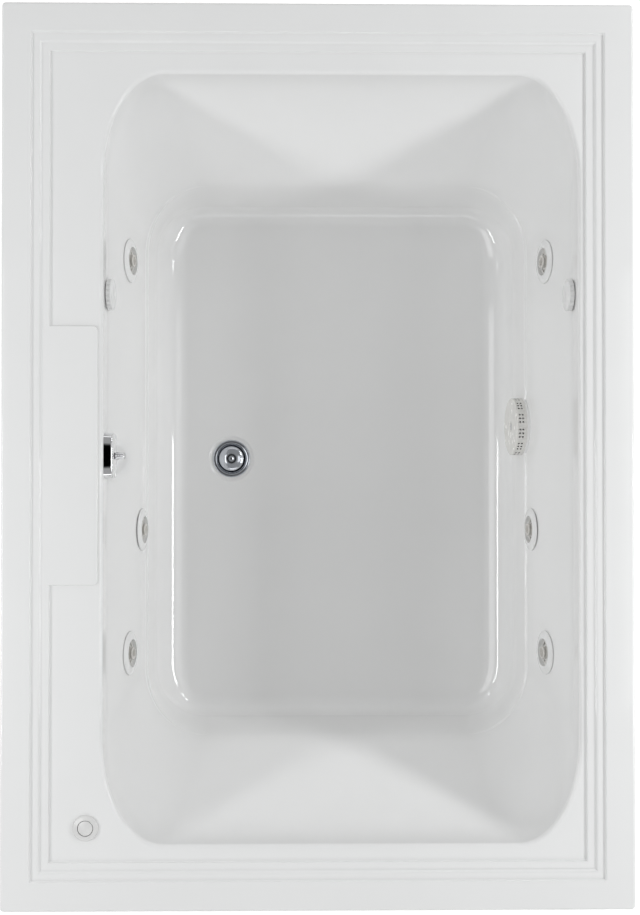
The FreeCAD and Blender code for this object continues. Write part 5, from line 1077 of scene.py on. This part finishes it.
def switch_bezel():
    """Raised deck ring of the air switch, with its well, body and air nipple."""
    place = switch_place()
    ring = softened([(BEZEL_CHAMBER_R, BEZEL_SHELF, 0), (BEZEL_WELL_R, BEZEL_SHELF, 0),
                     (BEZEL_WELL_R, BEZEL_TOP, 0.0006), (BEZEL_BROW_R, BEZEL_BROW_Z, 0.0016),
                     (BEZEL_R, BEZEL_SEAT, 0), (BEZEL_BODY_R, BEZEL_SEAT, 0),
                     (BEZEL_BODY_R, BEZEL_BODY_FOOT, 0), (NIPPLE_R, BEZEL_BODY_FOOT, 0),
                     (NIPPLE_R, NIPPLE_FOOT, 0), (0.0, NIPPLE_FOOT, 0)])
    chamber = [(BEZEL_CHAMBER_R, BEZEL_SHELF), (BEZEL_CHAMBER_R, BEZEL_CHAMBER_FOOT),
               (0.0, BEZEL_CHAMBER_FOOT)]
    bm = bmesh.new()
    turned(bm, place, ring)
    turned(bm, place, chamber)
    return finish_mesh(bm, "switch_ring", [LOOKS["switch_white"]], "tub", "trim_white", "switch_bezel")


def switch_button():
    """Domed push button of the air switch, with the stud that the spring sits on."""
    place = switch_place()
    bm = bmesh.new()
    foot = [(STUD_R, STUD_FOOT), (STUD_R, BUTTON_FOOT), (BUTTON_R, BUTTON_FOOT), (BUTTON_R, BUTTON_SIDE)]
    dome = [(radius, BUTTON_TOP - depth) for radius, depth in BUTTON_DOME]
    rows = turned(bm, place, foot + dome)
    tip(bm, rows[0], place @ Vector((0, 0, STUD_FOOT)))
    return finish_mesh(bm, "switch_dome", [LOOKS["switch_white"]], "button", "trim_white", "switch_button")


def switch_spring():
    """Return spring of the air switch, a coil under the button."""
    count = SPRING_TURNS * SPRING_TURN_STEPS
    rise = (SPRING_TOP - SPRING_FOOT) / count
    wire = [(SPRING_WIRE_R * math.cos(2 * math.pi * index / SPRING_WIRE_POINTS),
             SPRING_WIRE_R * math.sin(2 * math.pi * index / SPRING_WIRE_POINTS))
            for index in range(SPRING_WIRE_POINTS)]
    foot = Vector((SWITCH_X, SWITCH_Y, DECK_Z + SPRING_FOOT))
    loops = []
    for index in range(count + 1):
        turn = 2 * math.pi * index / SPRING_TURN_STEPS
        out = Vector((math.cos(turn), math.sin(turn), 0))
        middle = foot + out * SPRING_R + Vector((0, 0, rise * index))
        loops.append([middle + out * across + Vector((0, 0, up)) for across, up in wire])
    bm = bmesh.new()
    rows = skin(bm, loops)
    for row in (rows[0], rows[-1]):
        bm.faces.new(row)
    piece = finish_mesh(bm, "switch_coil", [LOOKS["steel"]], "tub", "steel", "switch_spring")
    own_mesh(piece)
    return piece


# ================================================================ studio
def add_camera():
    """Camera above the tub; +Y is up in the picture."""
    place = Vector(CAMERA_PLACE)
    look = (Vector(CAMERA_TARGET) - place).normalized()
    right = look.cross(Vector((0, 1, 0))).normalized()
    up = right.cross(look)
    data = bpy.data.cameras.new("camera")
    data.lens = CAMERA_LENS
    data.sensor_width = CAMERA_SENSOR
    camera = bpy.data.objects.new("camera", data)
    camera.matrix_world = Matrix.Translation(place) @ Matrix((right, up, -look)).transposed().to_4x4()
    bpy.context.scene.collection.objects.link(camera)
    bpy.context.scene.camera = camera


def softbox(name, place, target, size, power):
    """Soft rectangular light aimed at a point; the size is (level, upright)."""
    data = bpy.data.lights.new(name, "AREA")
    data.shape = "RECTANGLE"
    data.size, data.size_y = size
    data.energy = power
    data.color = DAYLIGHT
    lamp = bpy.data.objects.new(name, data)
    lamp.location = place
    lamp.rotation_mode = "QUATERNION"
    lamp.rotation_quaternion = (Vector(target) - Vector(place)).to_track_quat("-Z", "Y")
    lamp.visible_camera = False
    bpy.context.scene.collection.objects.link(lamp)
    return lamp


def side_light(name, x, z, reach, tall, power):
    """Softbox beside the tub that faces its long axis; reach is its span along Y."""
    middle = (reach[0] + reach[1]) / 2
    softbox(name, (x, middle, z), (0, middle, AIM_Z), (reach[1] - reach[0], tall), power)


def ceiling(world):
    """Dim studio ceiling, dark straight above where the camera stands."""
    world.use_nodes = True
    tree = world.node_tree
    backdrop = tree.nodes["Background"]
    where = tree.nodes.new("ShaderNodeTexCoord")
    split = tree.nodes.new("ShaderNodeSeparateXYZ")
    fade = tree.nodes.new("ShaderNodeMapRange")
    fade.inputs["From Min"].default_value = math.cos(math.radians(CEILING_FADE))
    fade.inputs["From Max"].default_value = math.cos(math.radians(CEILING_DARK))
    fade.inputs["To Min"].default_value = CEILING_LIGHT
    fade.inputs["To Max"].default_value = 0.0
    backdrop.inputs["Color"].default_value = (*DAYLIGHT, 1)
    tree.links.new(where.outputs["Generated"], split.inputs["Vector"])
    tree.links.new(split.outputs["Z"], fade.inputs["Value"])
    tree.links.new(fade.outputs["Result"], backdrop.inputs["Strength"])


def white_floor():
    """Wide floor that glows a little, so that it shows white."""
    corners = [(x * FLOOR_REACH, y * FLOOR_REACH, 0) for x, y in ((-1, -1), (1, -1), (1, 1), (-1, 1))]
    plane = bpy.data.meshes.new("studio_floor")
    plane.from_pydata(corners, [], [(0, 1, 2, 3)])
    material, _, _ = shader("studio_floor", (0.86, 0.86, 0.86), 0.9, Emission_Color=(1, 1, 1, 1),
                            Emission_Strength=FLOOR_GLOW)
    plane.materials.append(material)
    floor = bpy.data.objects.new("studio_floor", plane)
    bpy.context.scene.collection.objects.link(floor)


def studio():
    """White floor, dim ceiling, and soft lights low on all sides."""
    white_floor()
    world = bpy.data.worlds.new("studio")
    bpy.context.scene.world = world
    ceiling(world)
    for light in SIDE_LIGHTS:
        side_light(*light)
    for name, y, power in END_LIGHTS:
        softbox(name, (0, y, END_Z), (0, 0, AIM_Z), END_SIZE, power)
    bpy.context.scene.view_settings.view_transform = "Standard"
    bpy.context.scene.view_settings.look = "None"


add_camera()
dress_nodes()
tub_shell()
jet_flanges()
suction_cover()
suction_screw()
overflow_plate()
overflow_screws()
switch_bezel()
switch_button()
switch_spring()
studio()
